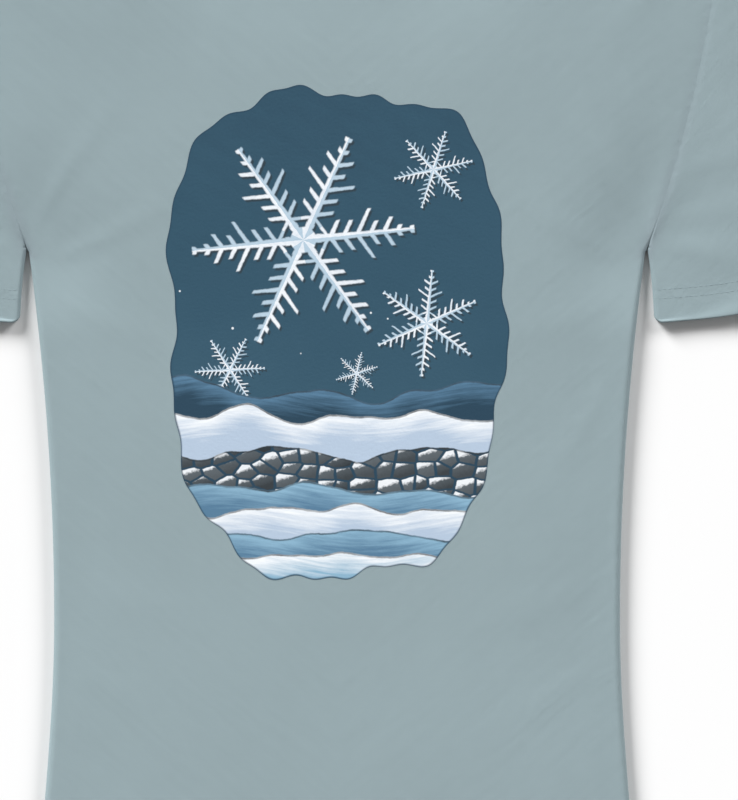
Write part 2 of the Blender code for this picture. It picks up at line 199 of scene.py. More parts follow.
# The soft folds' shape, as shares of their width and length: the width at the start and its growth, the
# depth and width of the dips beside them, and where they rise and fall. Then how they vary: the front's
# seed, how far their far ends are nudged, and the shares of their listed width and rise. They all have
# CREASE_SHARE of that rise.
CREASE_START, CREASE_GROWTH = 0.6, 0.8
CREASE_DIP, CREASE_DIP_WIDTH = 0.45, 2.4
CREASE_RISES, CREASE_FALLS = (-0.08, 0.22), (1.05, 0.30)
CREASE_SEED = 11
CREASE_NUDGE = 0.006
CREASE_VARY = (0.75, 1.25)
CREASE_SHARE = 0.5

# Hems: the depth that is turned in, the step between plies, the length at which the ply's last row
# lies, the length over which the edge's direction is taken, and the grid's rows for ply and turn.
HEM_DEPTH = 0.0215
HEM_PLY = CLOTH + 0.00015
HEM_START = 0.0006
HEM_WAY_LENGTH = 0.002
HEM_PLIES = 10
HEM_TURNS = 6

# Stitching: the rows' distances from the hem's edge, the neck seam and the shoulder seam, where the last
# two start and end and their points, the stitches' spacing and length, the points along and round one,
# how deep it pulls into the cloth, and the thread.
HEM_ROWS = (0.0138, 0.0192)
NECK_ROWS = (0.0030, 0.0082)
NECK_ROW_START = 0.07
NECK_ROW_POINTS = 400
SHOULDER_ROW = 0.0062
SHOULDER_ROW_SHARES = (0.03, 0.975)
SHOULDER_ROW_POINTS = 200
STITCH_PITCH = 0.0031
STITCH_LENGTH = 0.0027
STITCH_SHARES = np.linspace(-1, 1, 7)
STITCH_SIDES = 6
STITCH_BURY = 0.00009
THREAD_RADIUS = 0.00014

# How a seam shows beside it: the cloth puckers, and at the armhole shade is painted on it, more at the
# underarm.
PUCKER_REACH = 0.006
HEM_PUCKER = 0.9
HEM_PUCKER_DEPTH = 0.0165
BODY_PUCKER_WIDTH, SLEEVE_PUCKER_WIDTH = 0.009, 0.008
SHADE_WIDTH, SHADE_MORE_WIDTH, SHADE_WIDTH_REACH = 0.0030, 0.0020, 0.075
SHADE, SHADE_MORE, SHADE_REACH = 0.12, 0.38, 0.060
SHADE_LOWEST_Y, SHADE_LEAST_Z = -0.004, 0.0015

# The print: its middle, its half sizes, the ink's height above the cloth, the points round its edge,
# its rings and the last one's size, and the edge's distance as a share of the way straight out to it.
PRINT_MIDDLE = np.array([0.0003, -0.0465])
PRINT_HALF = np.array([0.1030, 0.1485])
INK = 0.00012
PRINT_POINTS, PRINT_RINGS, PRINT_LEAST_RING = 480, 90, 0.004
PRINT_SLANT = 0.93

# Below TINY a length counts as none, and EDGE_SOFTNESS keeps an edge's weight finite on the edge.
TINY = 1e-12
EDGE_SOFTNESS = 1e-6


# ------------------------------------------------------------------ curves and grids


def smooth_step(x, start, end):
    """0 before start, 1 after end, and the S curve 3t^2 - 2t^3 between them."""
    t = np.clip((x - start) / (end - start), 0, 1)
    return t * t * (3 - 2 * t)


def curve(controls, t):
    """A Bezier curve of any degree: the controls weighted by the binomial terms of t and 1 - t."""
    t = np.asarray(t, float)[..., None]
    degree = len(controls) - 1
    return sum(
        math.comb(degree, k) * t**k * (1 - t) ** (degree - k) * np.asarray(control, float)
        for k, control in enumerate(controls)
    )


def packed(count, edge_share=0.45):
    """Values from 0 to 1 that lie closer together towards 1: 1 - a(1 - t) - (1 - a)(1 - t)^2."""
    rest = 1 - np.linspace(0, 1, count)
    return 1 - edge_share * rest - (1 - edge_share) * rest**2


def both_ends_packed(count):
    """Values from 0 to 1 that lie closer together at both ends: packed, mirrored about the middle."""
    half = packed(count // 2 + 1)
    return np.concatenate([(1 - half[::-1]) / 2, (1 + half[1:]) / 2])


def unit(vectors):
    """Vectors divided by their lengths."""
    return vectors / np.maximum(np.linalg.norm(vectors, axis=-1, keepdims=True), TINY)


def square_to(line, side):
    """The unit plan direction square to a line, on its left (1) or its right (-1)."""
    along = unit(np.gradient(line, axis=0))
    return side * np.stack([-along[..., 1], along[..., 0]], axis=-1)


def patch(bottom, top, left, right, u, v):
    """A Coons patch: the two ruled surfaces between facing edges, added, less the corners' blend."""
    u, v = u[None, :, None], v[:, None, None]
    low, high, near, far = bottom[None], top[None], left[:, None], right[:, None]
    corners = (1 - v) * ((1 - u) * low[:, :1] + u * low[:, -1:]) + v * (
        (1 - u) * high[:, :1] + u * high[:, -1:]
    )
    return (1 - v) * low + v * high + (1 - u) * near + u * far - corners


def distance(points, line):
    """How far each plan point is from a line given by points along it: the least over its pieces."""
    start, step = line[:-1], np.diff(line, axis=0)
    apart = points[..., None, :] - start
    share = np.clip((apart * step).sum(-1) / (step * step).sum(-1), 0, 1)
    return np.linalg.norm(apart - share[..., None] * step, axis=-1).min(-1)


def lengths_along(points, axis=0):
    """The length of the path to each point: the running sum of the steps between neighbours."""
    steps = np.linalg.norm(np.diff(points, axis=axis), axis=-1)
    start = np.zeros_like(np.take(steps, [0], axis=axis))
    return np.concatenate([start, np.cumsum(steps, axis=axis)], axis=axis)


def normals_of(points, wrap=False):
    """Unit normals of a grid: the cross product of its column and row steps."""
    if wrap:
        points = np.concatenate([points[:, -1:], points, points[:, :1]], axis=1)
    normal = unit(np.cross(np.gradient(points, axis=1), np.gradient(points, axis=0)))
    return normal[:, 1:-1] if wrap else normal


def at_length(values, lengths, wanted):
    """Each column's value at a length along it, by straight interpolation between its rows."""
    below = np.clip((lengths < wanted).sum(axis=0) - 1, 0, len(lengths) - 2)
    column = np.arange(lengths.shape[1])
    low, high = lengths[below, column], lengths[below + 1, column]
    share = ((wanted - low) / np.maximum(high - low, TINY))[:, None]
    return values[below, column] * (1 - share) + values[below + 1, column] * share


def raised(plan, height):
    """Plan points with a height added as their third coordinate."""
    height = np.broadcast_to(height, plan.shape[:-1])
    return np.concatenate([plan, height[..., None]], axis=-1)


# ------------------------------------------------------------------ the shirt's outline


def body_half(y):
    """Half the laid body's width: a parabola above the waist, and below it a flare that levels out.

    The flare is its full amount times 1 - e^(-(down / reach)^2).
    """
    rise = y - WAIST_Y
    up = (CHEST_HALF - WAIST_HALF) * (rise / -WAIST_Y) ** 2
    down = HEM_FLARE * (1 - np.exp(-((rise / FLARE_REACH) ** 2)))
    return WAIST_HALF + np.where(rise > 0, up, down)


def armhole(t):
    """The armhole seam from the underarm to the shoulder's tip: a quadratic curve."""
    return curve([(CHEST_HALF, 0), ARMHOLE_PULL, TIP], t)


def hang(turn, half, top, drop, deep):
    """A neck line for turn from 0 to pi: half an ellipse if deep, or else a power curve."""
    x = half * np.cos(turn)
    fall = np.sin(turn) if deep else 1 - np.abs(np.cos(turn)) ** BACK_POWER
    return np.stack([x, top - drop * fall], axis=-1)


def neck(turn, deep):
    """The neck seam of the front (deep) or of the back."""
    return hang(turn, NECK_HALF, NECK_Y, FRONT_NECK_DROP if deep else BACK_NECK_DROP, deep)


def down_the_side(y, at_underarm, below):
    """A radius that goes from one value at the underarm to another by a soft step over FOLD_REACH."""
    return at_underarm + (below - at_underarm) * smooth_step(y, 0, -FOLD_REACH)


def fold_radius(y):
    """The front's fold radius at the sides, which shrinks towards the underarm."""
    return down_the_side(y, ARMPIT_FOLD_RADIUS, SIDE_FOLD_RADIUS)


def back_fold_radius(y):
    """The radius of the back's own fold, which lies inside the front's."""
    return down_the_side(y, BACK_PIT_RADIUS, BACK_FOLD_RADIUS)


def by_hem(y):
    """1 along the hem and 0 above it: a soft step."""
    return smooth_step(y, HEM_Y + HEM_CLEAR_FROM, HEM_Y + HEM_CLEAR_TO)


def front_side_z(y):
    """The height of the front's sheet where it meets its fold: the fold's full height off the floor."""
    return FLOOR_Z + 2 * fold_radius(y)


def front_flap_z(y):
    """The height of the front's turned-under side: on the floor."""
    return np.full_like(y, FLOOR_Z)


def back_side_z(y):
    """The height of the back's sheet where it meets its fold, lower at the hem to clear the plies."""
    return FLOOR_Z + fold_radius(y) + back_fold_radius(y) - HEM_SIDE_DROP * by_hem(y)


def back_flap_z(y):
    """The height of the back's turned-under side, which clears the front's hem beneath it."""
    return FLOOR_Z + fold_radius(y) - back_fold_radius(y) + HEM_FLAP_RISE * by_hem(y)


def fold_line(y):
    """The x where the front starts to turn over the side fold."""
    return body_half(y) - fold_radius(y) - CLOTH / 2


def flap_end(y):
    """The x of the side seam underneath: in from the edge by the tube's spare width.

    Towards the underarm a soft step narrows that to the least width.
    """
    spare = TUBE_HALF - body_half(y)
    taper = smooth_step(y, FLAP_TOP_Y, FLAP_FULL_Y)
    return body_half(y) - FLAP_LEAST - (spare - FLAP_LEAST) * taper


def seam_bend(climb):
    """How the cloth dives into the armhole seam: its bend's radius and angle, by the climb.

    At the underarm it is as round and deep as a fold, which fades above as e^(-climb / share) to a
    shallow dive.
    """
    fold = np.exp(-np.asarray(climb, float) / ARMHOLE_FOLD_SHARE)
    radius = ARMHOLE_CURL + (ARMPIT_FOLD_RADIUS - ARMHOLE_CURL) * fold
    return radius, ARMHOLE_DIVE + (math.pi / 2 - ARMHOLE_DIVE) * fold


def seam_inset(climb):
    """How far the flat cloth stops short of the armhole seam, to leave room for its bend.

    That is the bend's outer radius times the sine of its angle, and half the gap.
    """
    radius, angle = seam_bend(climb)
    return ((radius + CLOTH / 2) * np.sin(angle) + ARMHOLE_GAP / 2)[..., None]


SAMPLES = np.linspace(0, 1, 80)
SIDE_LINE = np.stack([fold_line(HEM_Y * SAMPLES), HEM_Y * SAMPLES], axis=-1)
ARMHOLE_LINE = armhole(SAMPLES)
SHOULDER_LINE = NECK_POINT * (1 - SAMPLES[:, None]) + TIP * SAMPLES[:, None]
NECK_LINE = neck(SAMPLES * math.pi, True)


# ------------------------------------------------------------------ how the cloth lies


def settle(middle, edges):
    """The height of cloth held at its edges, each given as (distance, height, reach, hold).

    Near an edge n = e^(-(distance / reach)^2) goes to 1. A point is free of all edges by the product
    of 1 - n, and takes the middle height by that share. The rest is the mean of the edges' heights,
    each with the weight hold n / (1 - n).
    """
    free, weights, heights = 1.0, 0.0, 0.0
    for away, height, reach, hold in edges:
        near = np.exp(-((away / reach) ** 2))
        free = free * (1 - near)
        weight = hold * near / (1 - near + EDGE_SOFTNESS)
        weights = weights + weight
        heights = heights + weight * height
    return middle * free + (1 - free) * heights / np.maximum(weights, TINY)


def crease(points, start, end, width, rise, bow=0.0):
    """A soft ridge between two plan points: a bell across it, and along it a quick rise and slow fall.

    The bell is e^(-(across / wide)^2), and wide grows along the ridge, which bows aside as a
    parabola. A wider, lower bell is taken away, so that shallow dips run beside the ridge.
    """
    start, end = np.array(start), np.array(end)
    length = np.linalg.norm(end - start)
    along_way = (end - start) / length
    apart = points - start
    along = (apart @ along_way) / length
    across = apart @ np.array([-along_way[1], along_way[0]]) - bow * 4 * along * (1 - along)
    wide = width * (CREASE_START + CREASE_GROWTH * np.clip(along, 0, 1))
    dips = CREASE_DIP * np.exp(-((across / (CREASE_DIP_WIDTH * wide)) ** 2))
    bell = np.exp(-((across / wide) ** 2)) - dips
    fade = smooth_step(along, *CREASE_RISES) * smooth_step(along, *CREASE_FALLS)
    return rise * bell * fade


def waves(x, rows):
    """The sum of rise * sin(rate * x + phase) over rows of rise, rate and phase."""
    return sum(rise * np.sin(x * rate + phase) for rise, rate, phase in rows)


def swell(points, seed, count, shortest, longest, rise):
    """A gentle unevenness: a sum of plane waves with seeded directions, lengths and phases."""
    draw = np.random.default_rng(seed)
    angle = draw.uniform(0, math.pi, count)
    wave = 2 * math.pi / draw.uniform(shortest, longest, count)
    phase = draw.uniform(0, 2 * math.pi, count)
    total = 0.0
    for a, k, p in zip(angle, wave, phase):
        total = total + np.sin(k * (points[..., 0] * math.cos(a) + points[..., 1] * math.sin(a)) + p)
    return rise * total / math.sqrt(count)


FRONT_CREASES = (
    # from, to, width, rise, bow, in the right half; the left half gets its own, slightly different
    ((0.176, -0.004), (0.070, 0.058), 0.0085, 0.00075, 0.006),
    ((0.180, 0.018), (0.118, 0.110), 0.0075, 0.00070, -0.005),
    ((0.176, -0.022), (0.060, -0.058), 0.0100, 0.00060, 0.004),
    ((0.172, -0.060), (0.104, -0.165), 0.0110, 0.00065, 0.006),
    ((0.163, -0.190), (0.060, -0.232), 0.0110, 0.00050, 0.005),
    ((0.161, -0.245), (0.075, -0.315), 0.0120, 0.00055, -0.006),
    ((0.210, 0.196), (0.128, 0.112), 0.0110, 0.00085, 0.008),
    ((0.100, 0.236), (0.150, 0.120), 0.0120, 0.00080, -0.010),
    ((0.060, 0.176), (0.074, 0.060), 0.0130, 0.00055, 0.006),
    ((0.164, -0.432), (0.120, -0.330), 0.0130, 0.00080, 0.008),
    ((0.092, -0.446), (0.080, -0.345), 0.0140, 0.00110, -0.006),
    ((0.030, -0.446), (0.024, -0.372), 0.0120, 0.00090, 0.004),
)


def front_creases(points):
    """All the soft folds in the front: the listed ones, and a mirrored, altered set on the left."""
    draw = np.random.default_rng(CREASE_SEED)
    total = 0.0
    for start, end, width, rise, bow in FRONT_CREASES:
        for side in (1, -1):
            nudge = draw.normal(0, CREASE_NUDGE, 2)
            vary = draw.uniform(*CREASE_VARY, 2)
            far = (side * end[0] + nudge[0], end[1] + nudge[1])
            near = (side * start[0], start[1])
            total = total + crease(points, near, far, width * vary[0], rise * vary[1], side * bow)
    return CREASE_SHARE * total


def armhole_height(y):
    """The armhole seam's height: low at the underarm and at the shoulder, and raised between them.

    Above the underarm it rises as 1 - e^(-y / reach), and near the tip it sinks by an exponential.
    """
    low = FLOOR_Z + 2 * ARMPIT_FOLD_RADIUS
    rise = ARMHOLE_RISE * (1 - np.exp(-np.maximum(y, 0) / ARMHOLE_RISE_REACH))
    free = low + ARMHOLE_START_RISE + rise
    at_tip = np.exp(-np.maximum(TIP[1] - y, 0) / TIP_REACH)
    return free + (low - free) * at_tip


def seam_dip(away):
    """How the cloth sinks beside a seam, as a share: the bell e^(-(distance / reach)^2)."""
    return np.exp(-((away / DIP_REACH) ** 2))


def front_height(points):
    """The front's middle surface: held at the folds, seams, neck and hem, with its soft folds added.

    The neck's height falls as the square of the distance from the middle, and the hem's waves are
    two sines, which stop where the turned-under sides lift it.
    """
    x, y = points[..., 0], points[..., 1]
    half = np.stack([np.abs(x), y], axis=-1)
    to_side, to_arm = distance(half, SIDE_LINE), distance(half, ARMHOLE_LINE)
    to_shoulder, to_neck = distance(half, SHOULDER_LINE), distance(half, NECK_LINE)
    edge_z = FLOOR_Z + 2 * EDGE_FOLD_RADIUS
    neck_z = NECK_FRONT_Z - (NECK_FRONT_Z - edge_z) * np.minimum(half[..., 0] / NECK_HALF, 1) ** 2
    on_flap = smooth_step(half[..., 0], HEM_FLAP_FROM, HEM_FLAP_TO)
    hem_wave = waves(x, HEM_WAVES) * (1 - on_flap)
    hem_z = HEM_FRONT_Z + (HEM_FLAP_Z - HEM_FRONT_Z) * on_flap + hem_wave
    height = settle(
        CHEST_Z,
        [
            (to_side, front_side_z(y), *SIDE_HOLD),
            (to_arm, armhole_height(y), *ARMHOLE_HOLD),
            (to_shoulder, edge_z, *SHOULDER_HOLD),
            (to_neck, neck_z, *NECK_HOLD),
            (np.maximum(y - HEM_Y, 0), hem_z, *HEM_HOLD),
        ],
    )
    held = smooth_step(np.minimum(to_side, to_shoulder), 0, FRONT_FOLD_CLEAR)
    held = held * smooth_step(np.minimum(to_arm, to_neck), 0, FRONT_SEAM_CLEAR)
    loose = front_creases(points) + swell(points, FRONT_SWELL_SEED, *FRONT_SWELL)
    dips = ARMHOLE_DIP * seam_dip(to_arm) * smooth_step(to_side, 0, DIP_CLEAR)
    dips = dips + NECK_DIP * seam_dip(to_neck)
    return height + held * loose - dips


def back_height(points):
    """The back's middle surface: on the floor, and stepping up over the turned-under sides.

    The step is the product of a soft step across their edge and one down from the underarm.
    """
    x, y = np.abs(points[..., 0]), points[..., 1]
    end = flap_end(np.minimum(y, FLAP_TOP_Y))
    on_flap = smooth_step(x, end - BACK_STEP_IN, end + BACK_STEP_OUT)
    on_flap = on_flap * smooth_step(y, BACK_STEP_TOP_Y, BACK_STEP_FULL_Y)
    return FLOOR_Z + (back_side_z(y) - FLOOR_Z) * on_flap


# ------------------------------------------------------------------ the body's two panels

# Columns from the middle to the side, as shares; the first ones, up to NECK_COLUMNS, end at the neck.
TOP_COLUMNS = packed(72)
NECK_COLUMNS = 36
# Columns round the side fold, into the armhole seam and over the turned-under side.
FOLD_TURNS = np.linspace(math.pi / 2, -math.pi / 2, 11)[1:]
DIVE_SHARES = np.linspace(0, 1, 6)[1:]
FLAP_SHARES = np.linspace(0, 1, 13)[1:]
# Rows from the hem to just over the underarm, as levels, and then up the armhole, as shares of it.
PIT_Y, PIT_SHARE = 0.0022, 0.0145
LOWER_ROWS = np.linspace(HEM_Y, PIT_Y, 139)
UPPER_ROWS = PIT_SHARE + (1 - PIT_SHARE) * both_ends_packed(68)
# Rows that turn the shoulder and neck edges down.
TOP_TURNS = np.linspace(math.pi / 2, 0, 6)[1:]


def hem_shift(x, y):
    """How far the hem's edge wanders along the shirt, fading into the body above it.

    It wanders by two sines. Its two corners are rounded. Both fade upwards exponentially, the
    corners within a few millimetres.
    """
    up = y - HEM_Y
    corner = corner_rise(body_half(HEM_Y) - np.abs(x)) * np.exp(-up / (CORNER_FADE * CORNER_ROUND))
    return waves(x, HEM_WANDER) * np.exp(-up / HEM_WANDER_REACH) + corner


def upper_plan(deep):
    """A panel's plan above the underarm: a patch between chest, armholes, neck and shoulders.

    The seams' edges are drawn in by the curl that follows them, less beside the shoulder, where the
    neck edge meets the band's fold.
    """
    inset = SEAM_CURL + CLOTH / 2 + SEAM_GAP / 2
    side = armhole(UPPER_ROWS)
    climb = (UPPER_ROWS - PIT_SHARE) / (1 - PIT_SHARE)
    side = side + seam_inset(climb) * square_to(side, 1)
    turn = np.linspace(math.pi / 2, 0, NECK_COLUMNS + 1)
    by_collar = 1 - BAND_CORNER_SHARE * np.exp(-((turn / BAND_CORNER_REACH) ** 2))
    round_neck = neck(turn, deep)
    round_neck = round_neck + (inset * by_collar)[:, None] * square_to(round_neck, -1)
    across = TOP_COLUMNS[NECK_COLUMNS + 1 :, None]
    across = (across - TOP_COLUMNS[NECK_COLUMNS]) / (1 - TOP_COLUMNS[NECK_COLUMNS])
    tip = side[-1]
    drawn_in = np.array([0, EDGE_FOLD_RADIUS])
    shoulder = (round_neck[-1] - drawn_in / 2) * (1 - across) + (tip - drawn_in) * across
    side = side + (np.linspace(0, 1, len(side))[:, None] ** TIP_POWER) * (shoulder[-1] - tip)
    half = np.concatenate([round_neck, shoulder])
    half[0, 0] = 0
    mirror = np.array([-1, 1])
    high = np.concatenate([half[:0:-1] * mirror, half])
    shares = np.concatenate([-TOP_COLUMNS[:0:-1], TOP_COLUMNS])
    low = np.stack([shares * side[0, 0], np.full_like(shares, side[0, 1])], axis=-1)
    return patch(low, high, side * mirror, side, (shares + 1) / 2, climb)


def body_panel(height, deep, side_z, flap_z, inset, lift):
    """A body panel as one grid: hem to shoulders in rows, and flap, fold, top, fold, flap in columns.

    Over a fold the cloth follows a half circle. Above the underarm the fold's first columns become
    the bend of the armhole seam, part of a circle, and the rest are empty. The fold starts further
    in than the front's by inset. lift is 1 where the seam edges dive down and -1 where they rise.
    """
    rows = LOWER_ROWS
    radius = (side_z(rows) - flap_z(rows)) / 2
    edge = body_half(rows) - (fold_radius(rows) + CLOTH / 2 + inset)
    shares = np.concatenate([-TOP_COLUMNS[:0:-1], TOP_COLUMNS])
    lower_x = shares * edge[:, None]
    lower_y = rows[:, None] + hem_shift(lower_x, rows[:, None])
    plan = np.concatenate([np.stack([lower_x, lower_y], axis=-1), upper_plan(deep)])
    top = raised(plan, height(plan))
    count = len(rows)
    top[:count, [0, -1], 2] = side_z(rows)[:, None]

    fold_x = edge[:, None] + radius[:, None] * np.cos(FOLD_TURNS)
    fold_z = (flap_z(rows) + radius)[:, None] + radius[:, None] * np.sin(FOLD_TURNS)
    flap_x = edge[:, None] + (flap_end(rows) - edge)[:, None] * FLAP_SHARES
    flap_zs = np.broadcast_to(flap_z(rows)[:, None], flap_x.shape)
    side_x, side_zs = np.hstack([fold_x, flap_x]), np.hstack([fold_z, flap_zs])
    side_y = rows[:, None] + hem_shift(side_x, rows[:, None])
    lower_side = np.stack([side_x, side_y, side_zs], axis=-1)

    upper_side = np.full((len(UPPER_ROWS), lower_side.shape[1], 3), np.nan)
    seam = top[count:, -1]
    outward = square_to(seam[:, :2], -1)
    bent = len(DIVE_SHARES)
    radius, angle = seam_bend((UPPER_ROWS - PIT_SHARE) / (1 - PIT_SHARE))
    dive = angle[:, None] * DIVE_SHARES
    run, sink = radius[:, None] * np.sin(dive), radius[:, None] * (1 - np.cos(dive))
    upper_side[:, :bent, :2] = seam[:, None, :2] + outward[:, None] * run[..., None]
    upper_side[:, :bent, 2] = seam[:, 2:] - lift * sink
    right = np.concatenate([lower_side, upper_side])

    mirror = np.array([-1, 1, 1])
    left_seam = top[count:, 0]
    left = right[:, ::-1] * mirror
    left[count:, -bent:, 2] += (left_seam[:, 2] - seam[:, 2])[:, None]
    return np.concatenate([left, top, right], axis=1)


def with_top_curl(grid, lift):
    """Adds rows that turn the shoulder edge over a fold and tuck the neck edge into its seam.

    Each row steps outwards by r cos(turn) and sinks by r (1 - sin(turn)), where r is the shoulder
    fold's radius on the shoulders and the seam's on the neck.
    """
    edge = grid[-1]
    outward = square_to(edge[:, :2], 1)
    middle = grid.shape[1] // 2
    from_middle = np.abs(np.arange(grid.shape[1]) - middle)
    on_shoulder = smooth_step(from_middle - NECK_COLUMNS, *BAND_CORNER_COLUMNS)
    radius = SEAM_CURL + (EDGE_FOLD_RADIUS - SEAM_CURL) * on_shoulder
    rows = []
    for turn in TOP_TURNS:
        step = radius[:, None] * math.cos(turn) * outward
        sink = lift * radius * (1 - math.sin(turn))
        rows.append(raised(edge[:, :2] + step, edge[:, 2] - sink))
    return np.concatenate([grid, np.array(rows)])


def with_hem(grid, normals):
    """Adds the turned-in hem below row 0: a half-circle turn, then a ply inside the cloth.

    The inner ply follows the cloth at the same length from the edge, one ply inwards.
    """
    lengths = lengths_along(grid)
    inner = [
        at_length(grid, lengths, depth) - at_length(normals, lengths, depth) * HEM_PLY
        for depth in np.linspace(HEM_DEPTH, HEM_START, HEM_PLIES)
    ]
    edge, square = grid[0], normals[0]
    away = unit(edge - at_length(grid, lengths, HEM_WAY_LENGTH))
    turn = np.linspace(-math.pi / 2, math.pi / 2, HEM_TURNS + 1)[:-1]
    centre, radius = edge - square * HEM_PLY / 2, HEM_PLY / 2
    round_edge = [centre + radius * (math.cos(a) * away + math.sin(a) * square) for a in turn]
    return np.concatenate([np.array(inner), np.array(round_edge), grid])


# ------------------------------------------------------------------ sleeves


def sleeve_armhole(t):
    """The sleeve's side of the armhole seam: the seam's curve, moved out by its bend's inset.

    Its lowest stretch is led to the sleeve's own corner by a share e^(-t / SLEEVE_START_SHARE).
    """
    t = np.asarray(t, float)
    line = armhole(PIT_SHARE + (SLEEVE_TOP_SHARE - PIT_SHARE) * t)
    line = line - seam_inset(t) * square_to(line, 1)
    return line + np.exp(-t[:, None] / SLEEVE_START_SHARE) * (SLEEVE_ARMPIT - line[0])


def sleeve_outer_fold(t):
    """The fold along the top of the sleeve, from the shoulder to the hem: a cubic curve."""
    start = sleeve_armhole(SAMPLES)[-1]
    return curve([start, start + SHOULDER_ROUND, SLEEVE_OUTER + OUTER_EDGE_PULL, SLEEVE_OUTER], t)


def sleeve_inner_fold(t):
    """The short fold between the underarm and the hem's inner corner: a quadratic curve."""
    return curve([sleeve_armhole(SAMPLES)[0], SLEEVE_INNER_PULL, SLEEVE_INNER], t)


def sleeve_hem(t):
    """The hem from the inner to the outer fold: a quadratic curve."""
    return curve([SLEEVE_INNER, HEM_PULL, SLEEVE_OUTER], t)


def corner_rise(inwards):
    """How far a rounded corner's edge is drawn in, by the distance inwards from its side: a circle."""
    to_go = np.clip(1 - inwards / CORNER_ROUND, 0, 1)
    return CORNER_ROUND * (1 - np.sqrt(1 - to_go**2))


# The upper layer's columns, the columns round each fold, and the rows.
SLEEVE_COLUMNS = 65
SLEEVE_TURNS = 9
SLEEVE_ROWS = 62
OUTER_LINE = sleeve_outer_fold(SAMPLES)
INNER_LINE = sleeve_inner_fold(SAMPLES)
SLEEVE_HEM_LINE = sleeve_hem(SAMPLES)
SLEEVE_CREASES = (
    # from, to, width, rise and bow
    ((0.196, 0.006), (0.262, -0.012), 0.0070, 0.00070, 0.003),
    ((0.200, 0.020), (0.290, 0.030), 0.0090, 0.00085, 0.005),
    ((0.206, 0.052), (0.280, 0.082), 0.0090, 0.00070, -0.005),
    ((0.244, 0.186), (0.284, 0.098), 0.0090, 0.00080, 0.006),
    ((0.300, 0.012), (0.246, 0.058), 0.0090, 0.00050, 0.005),
)


def sleeve_height(points, seed):
    """The sleeve's upper layer: held at its folds, its seam and its hem, with soft folds added."""
    y = points[..., 1]
    to_inner, to_outer = distance(points, INNER_LINE), distance(points, OUTER_LINE)
    to_arm, to_hem = distance(points, ARMHOLE_LINE), distance(points, SLEEVE_HEM_LINE)
    edge_z = FLOOR_Z + 2 * EDGE_FOLD_RADIUS
    hem_wave = waves(points[..., 0], [(*SLEEVE_HEM_WAVE, seed)])
    height = settle(
        SLEEVE_MID_Z,
        [
            (to_inner, edge_z, *SLEEVE_FOLD_HOLD),
            (to_outer, edge_z, *SLEEVE_FOLD_HOLD),
            (to_arm, armhole_height(y), *ARMHOLE_HOLD),
            (to_hem, SLEEVE_HEM_Z + hem_wave, *SLEEVE_HEM_HOLD),
        ],
    )
    draw = np.random.default_rng(seed)
    loose = swell(points, seed, *SLEEVE_SWELL)
    for start, end, width, rise, bow in SLEEVE_CREASES:
        vary = draw.uniform(*CREASE_VARY, 2)
        ridge = crease(points, start, end, width * vary[0], rise * vary[1], bow)
        loose = loose + CREASE_SHARE * ridge
    to_fold = np.minimum(to_inner, to_outer)
    held = smooth_step(to_fold, 0, SLEEVE_FOLD_CLEAR) * smooth_step(to_arm, 0, SLEEVE_SEAM_CLEAR)
    off_fold = smooth_step(to_fold, 0, DIP_CLEAR)
    return height + held * loose - ARMHOLE_DIP * seam_dip(to_arm) * off_fold


def sleeve_tube(seed):
    """A sleeve as a closed tube: upper layer, outer fold, lower layer and inner fold in columns.

    The layers are a patch between the sleeve's four lines, and each fold is a half circle. Row 0 is
    the hem, whose two corners are rounded: how far that draws in each column is the second result.
    The last rows bend the armhole edge inwards, square to it, by part of a circle.
    """
    across, down = both_ends_packed(SLEEVE_COLUMNS - 1), both_ends_packed(SLEEVE_ROWS)
    inner, outer = sleeve_inner_fold(down), sleeve_outer_fold(down)
    plan = patch(sleeve_armhole(across), sleeve_hem(across), inner, outer, across, down)
    upper = raised(plan, sleeve_height(plan, seed))
    upper[:, [0, -1], 2] = FLOOR_Z + 2 * EDGE_FOLD_RADIUS
    lower = raised(plan[:, ::-2], FLOOR_Z)
    turn = np.linspace(math.pi / 2, -math.pi / 2, SLEEVE_TURNS + 2)[1:-1]

    def fold(line, direction, angles):
        """A fold's points: a half circle at each point of its line, out in a plan direction."""
        run = EDGE_FOLD_RADIUS * np.cos(angles)[None, :, None]
        rise = FLOOR_Z + EDGE_FOLD_RADIUS * (1 + np.sin(angles))
        return raised(line[:, None] + run * direction[:, None], rise)

    outer_fold = fold(outer, square_to(outer, 1), turn)
    inner_fold = fold(inner, square_to(inner, -1), -turn)
    ring = np.concatenate([upper, outer_fold, lower, inner_fold], axis=1)
    from_hem = (1 - down)[:, None, None]
    hem = ring[-1]
    drawn_in = 0.0
    for corner, start, side in ((SLEEVE_INNER, inner[0], -1), (SLEEVE_OUTER, outer[0], 1)):
        along = start - corner
        length = np.linalg.norm(along)
        along = along / length
        inwards = np.abs((hem[:, :2] - corner) @ np.array([-along[1], along[0]]))
        beyond = side * (hem[:, 0] - corner[0]) > 0
        rise = corner_rise(EDGE_FOLD_RADIUS + np.where(beyond, -inwards, inwards))
        drawn_in = drawn_in + rise
        fade = np.exp(-from_hem * length / (CORNER_FADE * CORNER_ROUND))
        ring[..., :2] = ring[..., :2] + fade * rise[:, None] * along

    normals = -normals_of(ring, wrap=True)
    edge, square = ring[0], normals[0]
    away = unit(np.cross(square, np.roll(edge, -1, axis=0) - np.roll(edge, 1, axis=0)))
    climb = np.concatenate([across, np.ones_like(turn), across[::-2], np.zeros_like(turn)])
    radius, angle = (part[:, None] for part in seam_bend(climb))
    curl = []
    for share in DIVE_SHARES[::-1]:
        step = np.sin(share * angle) * away - (1 - np.cos(share * angle)) * square
        curl.append(edge + radius * step)
    ring = np.concatenate([np.array(curl), ring])
    return ring[::-1], drawn_in


# ------------------------------------------------------------------ collar band and neck tape


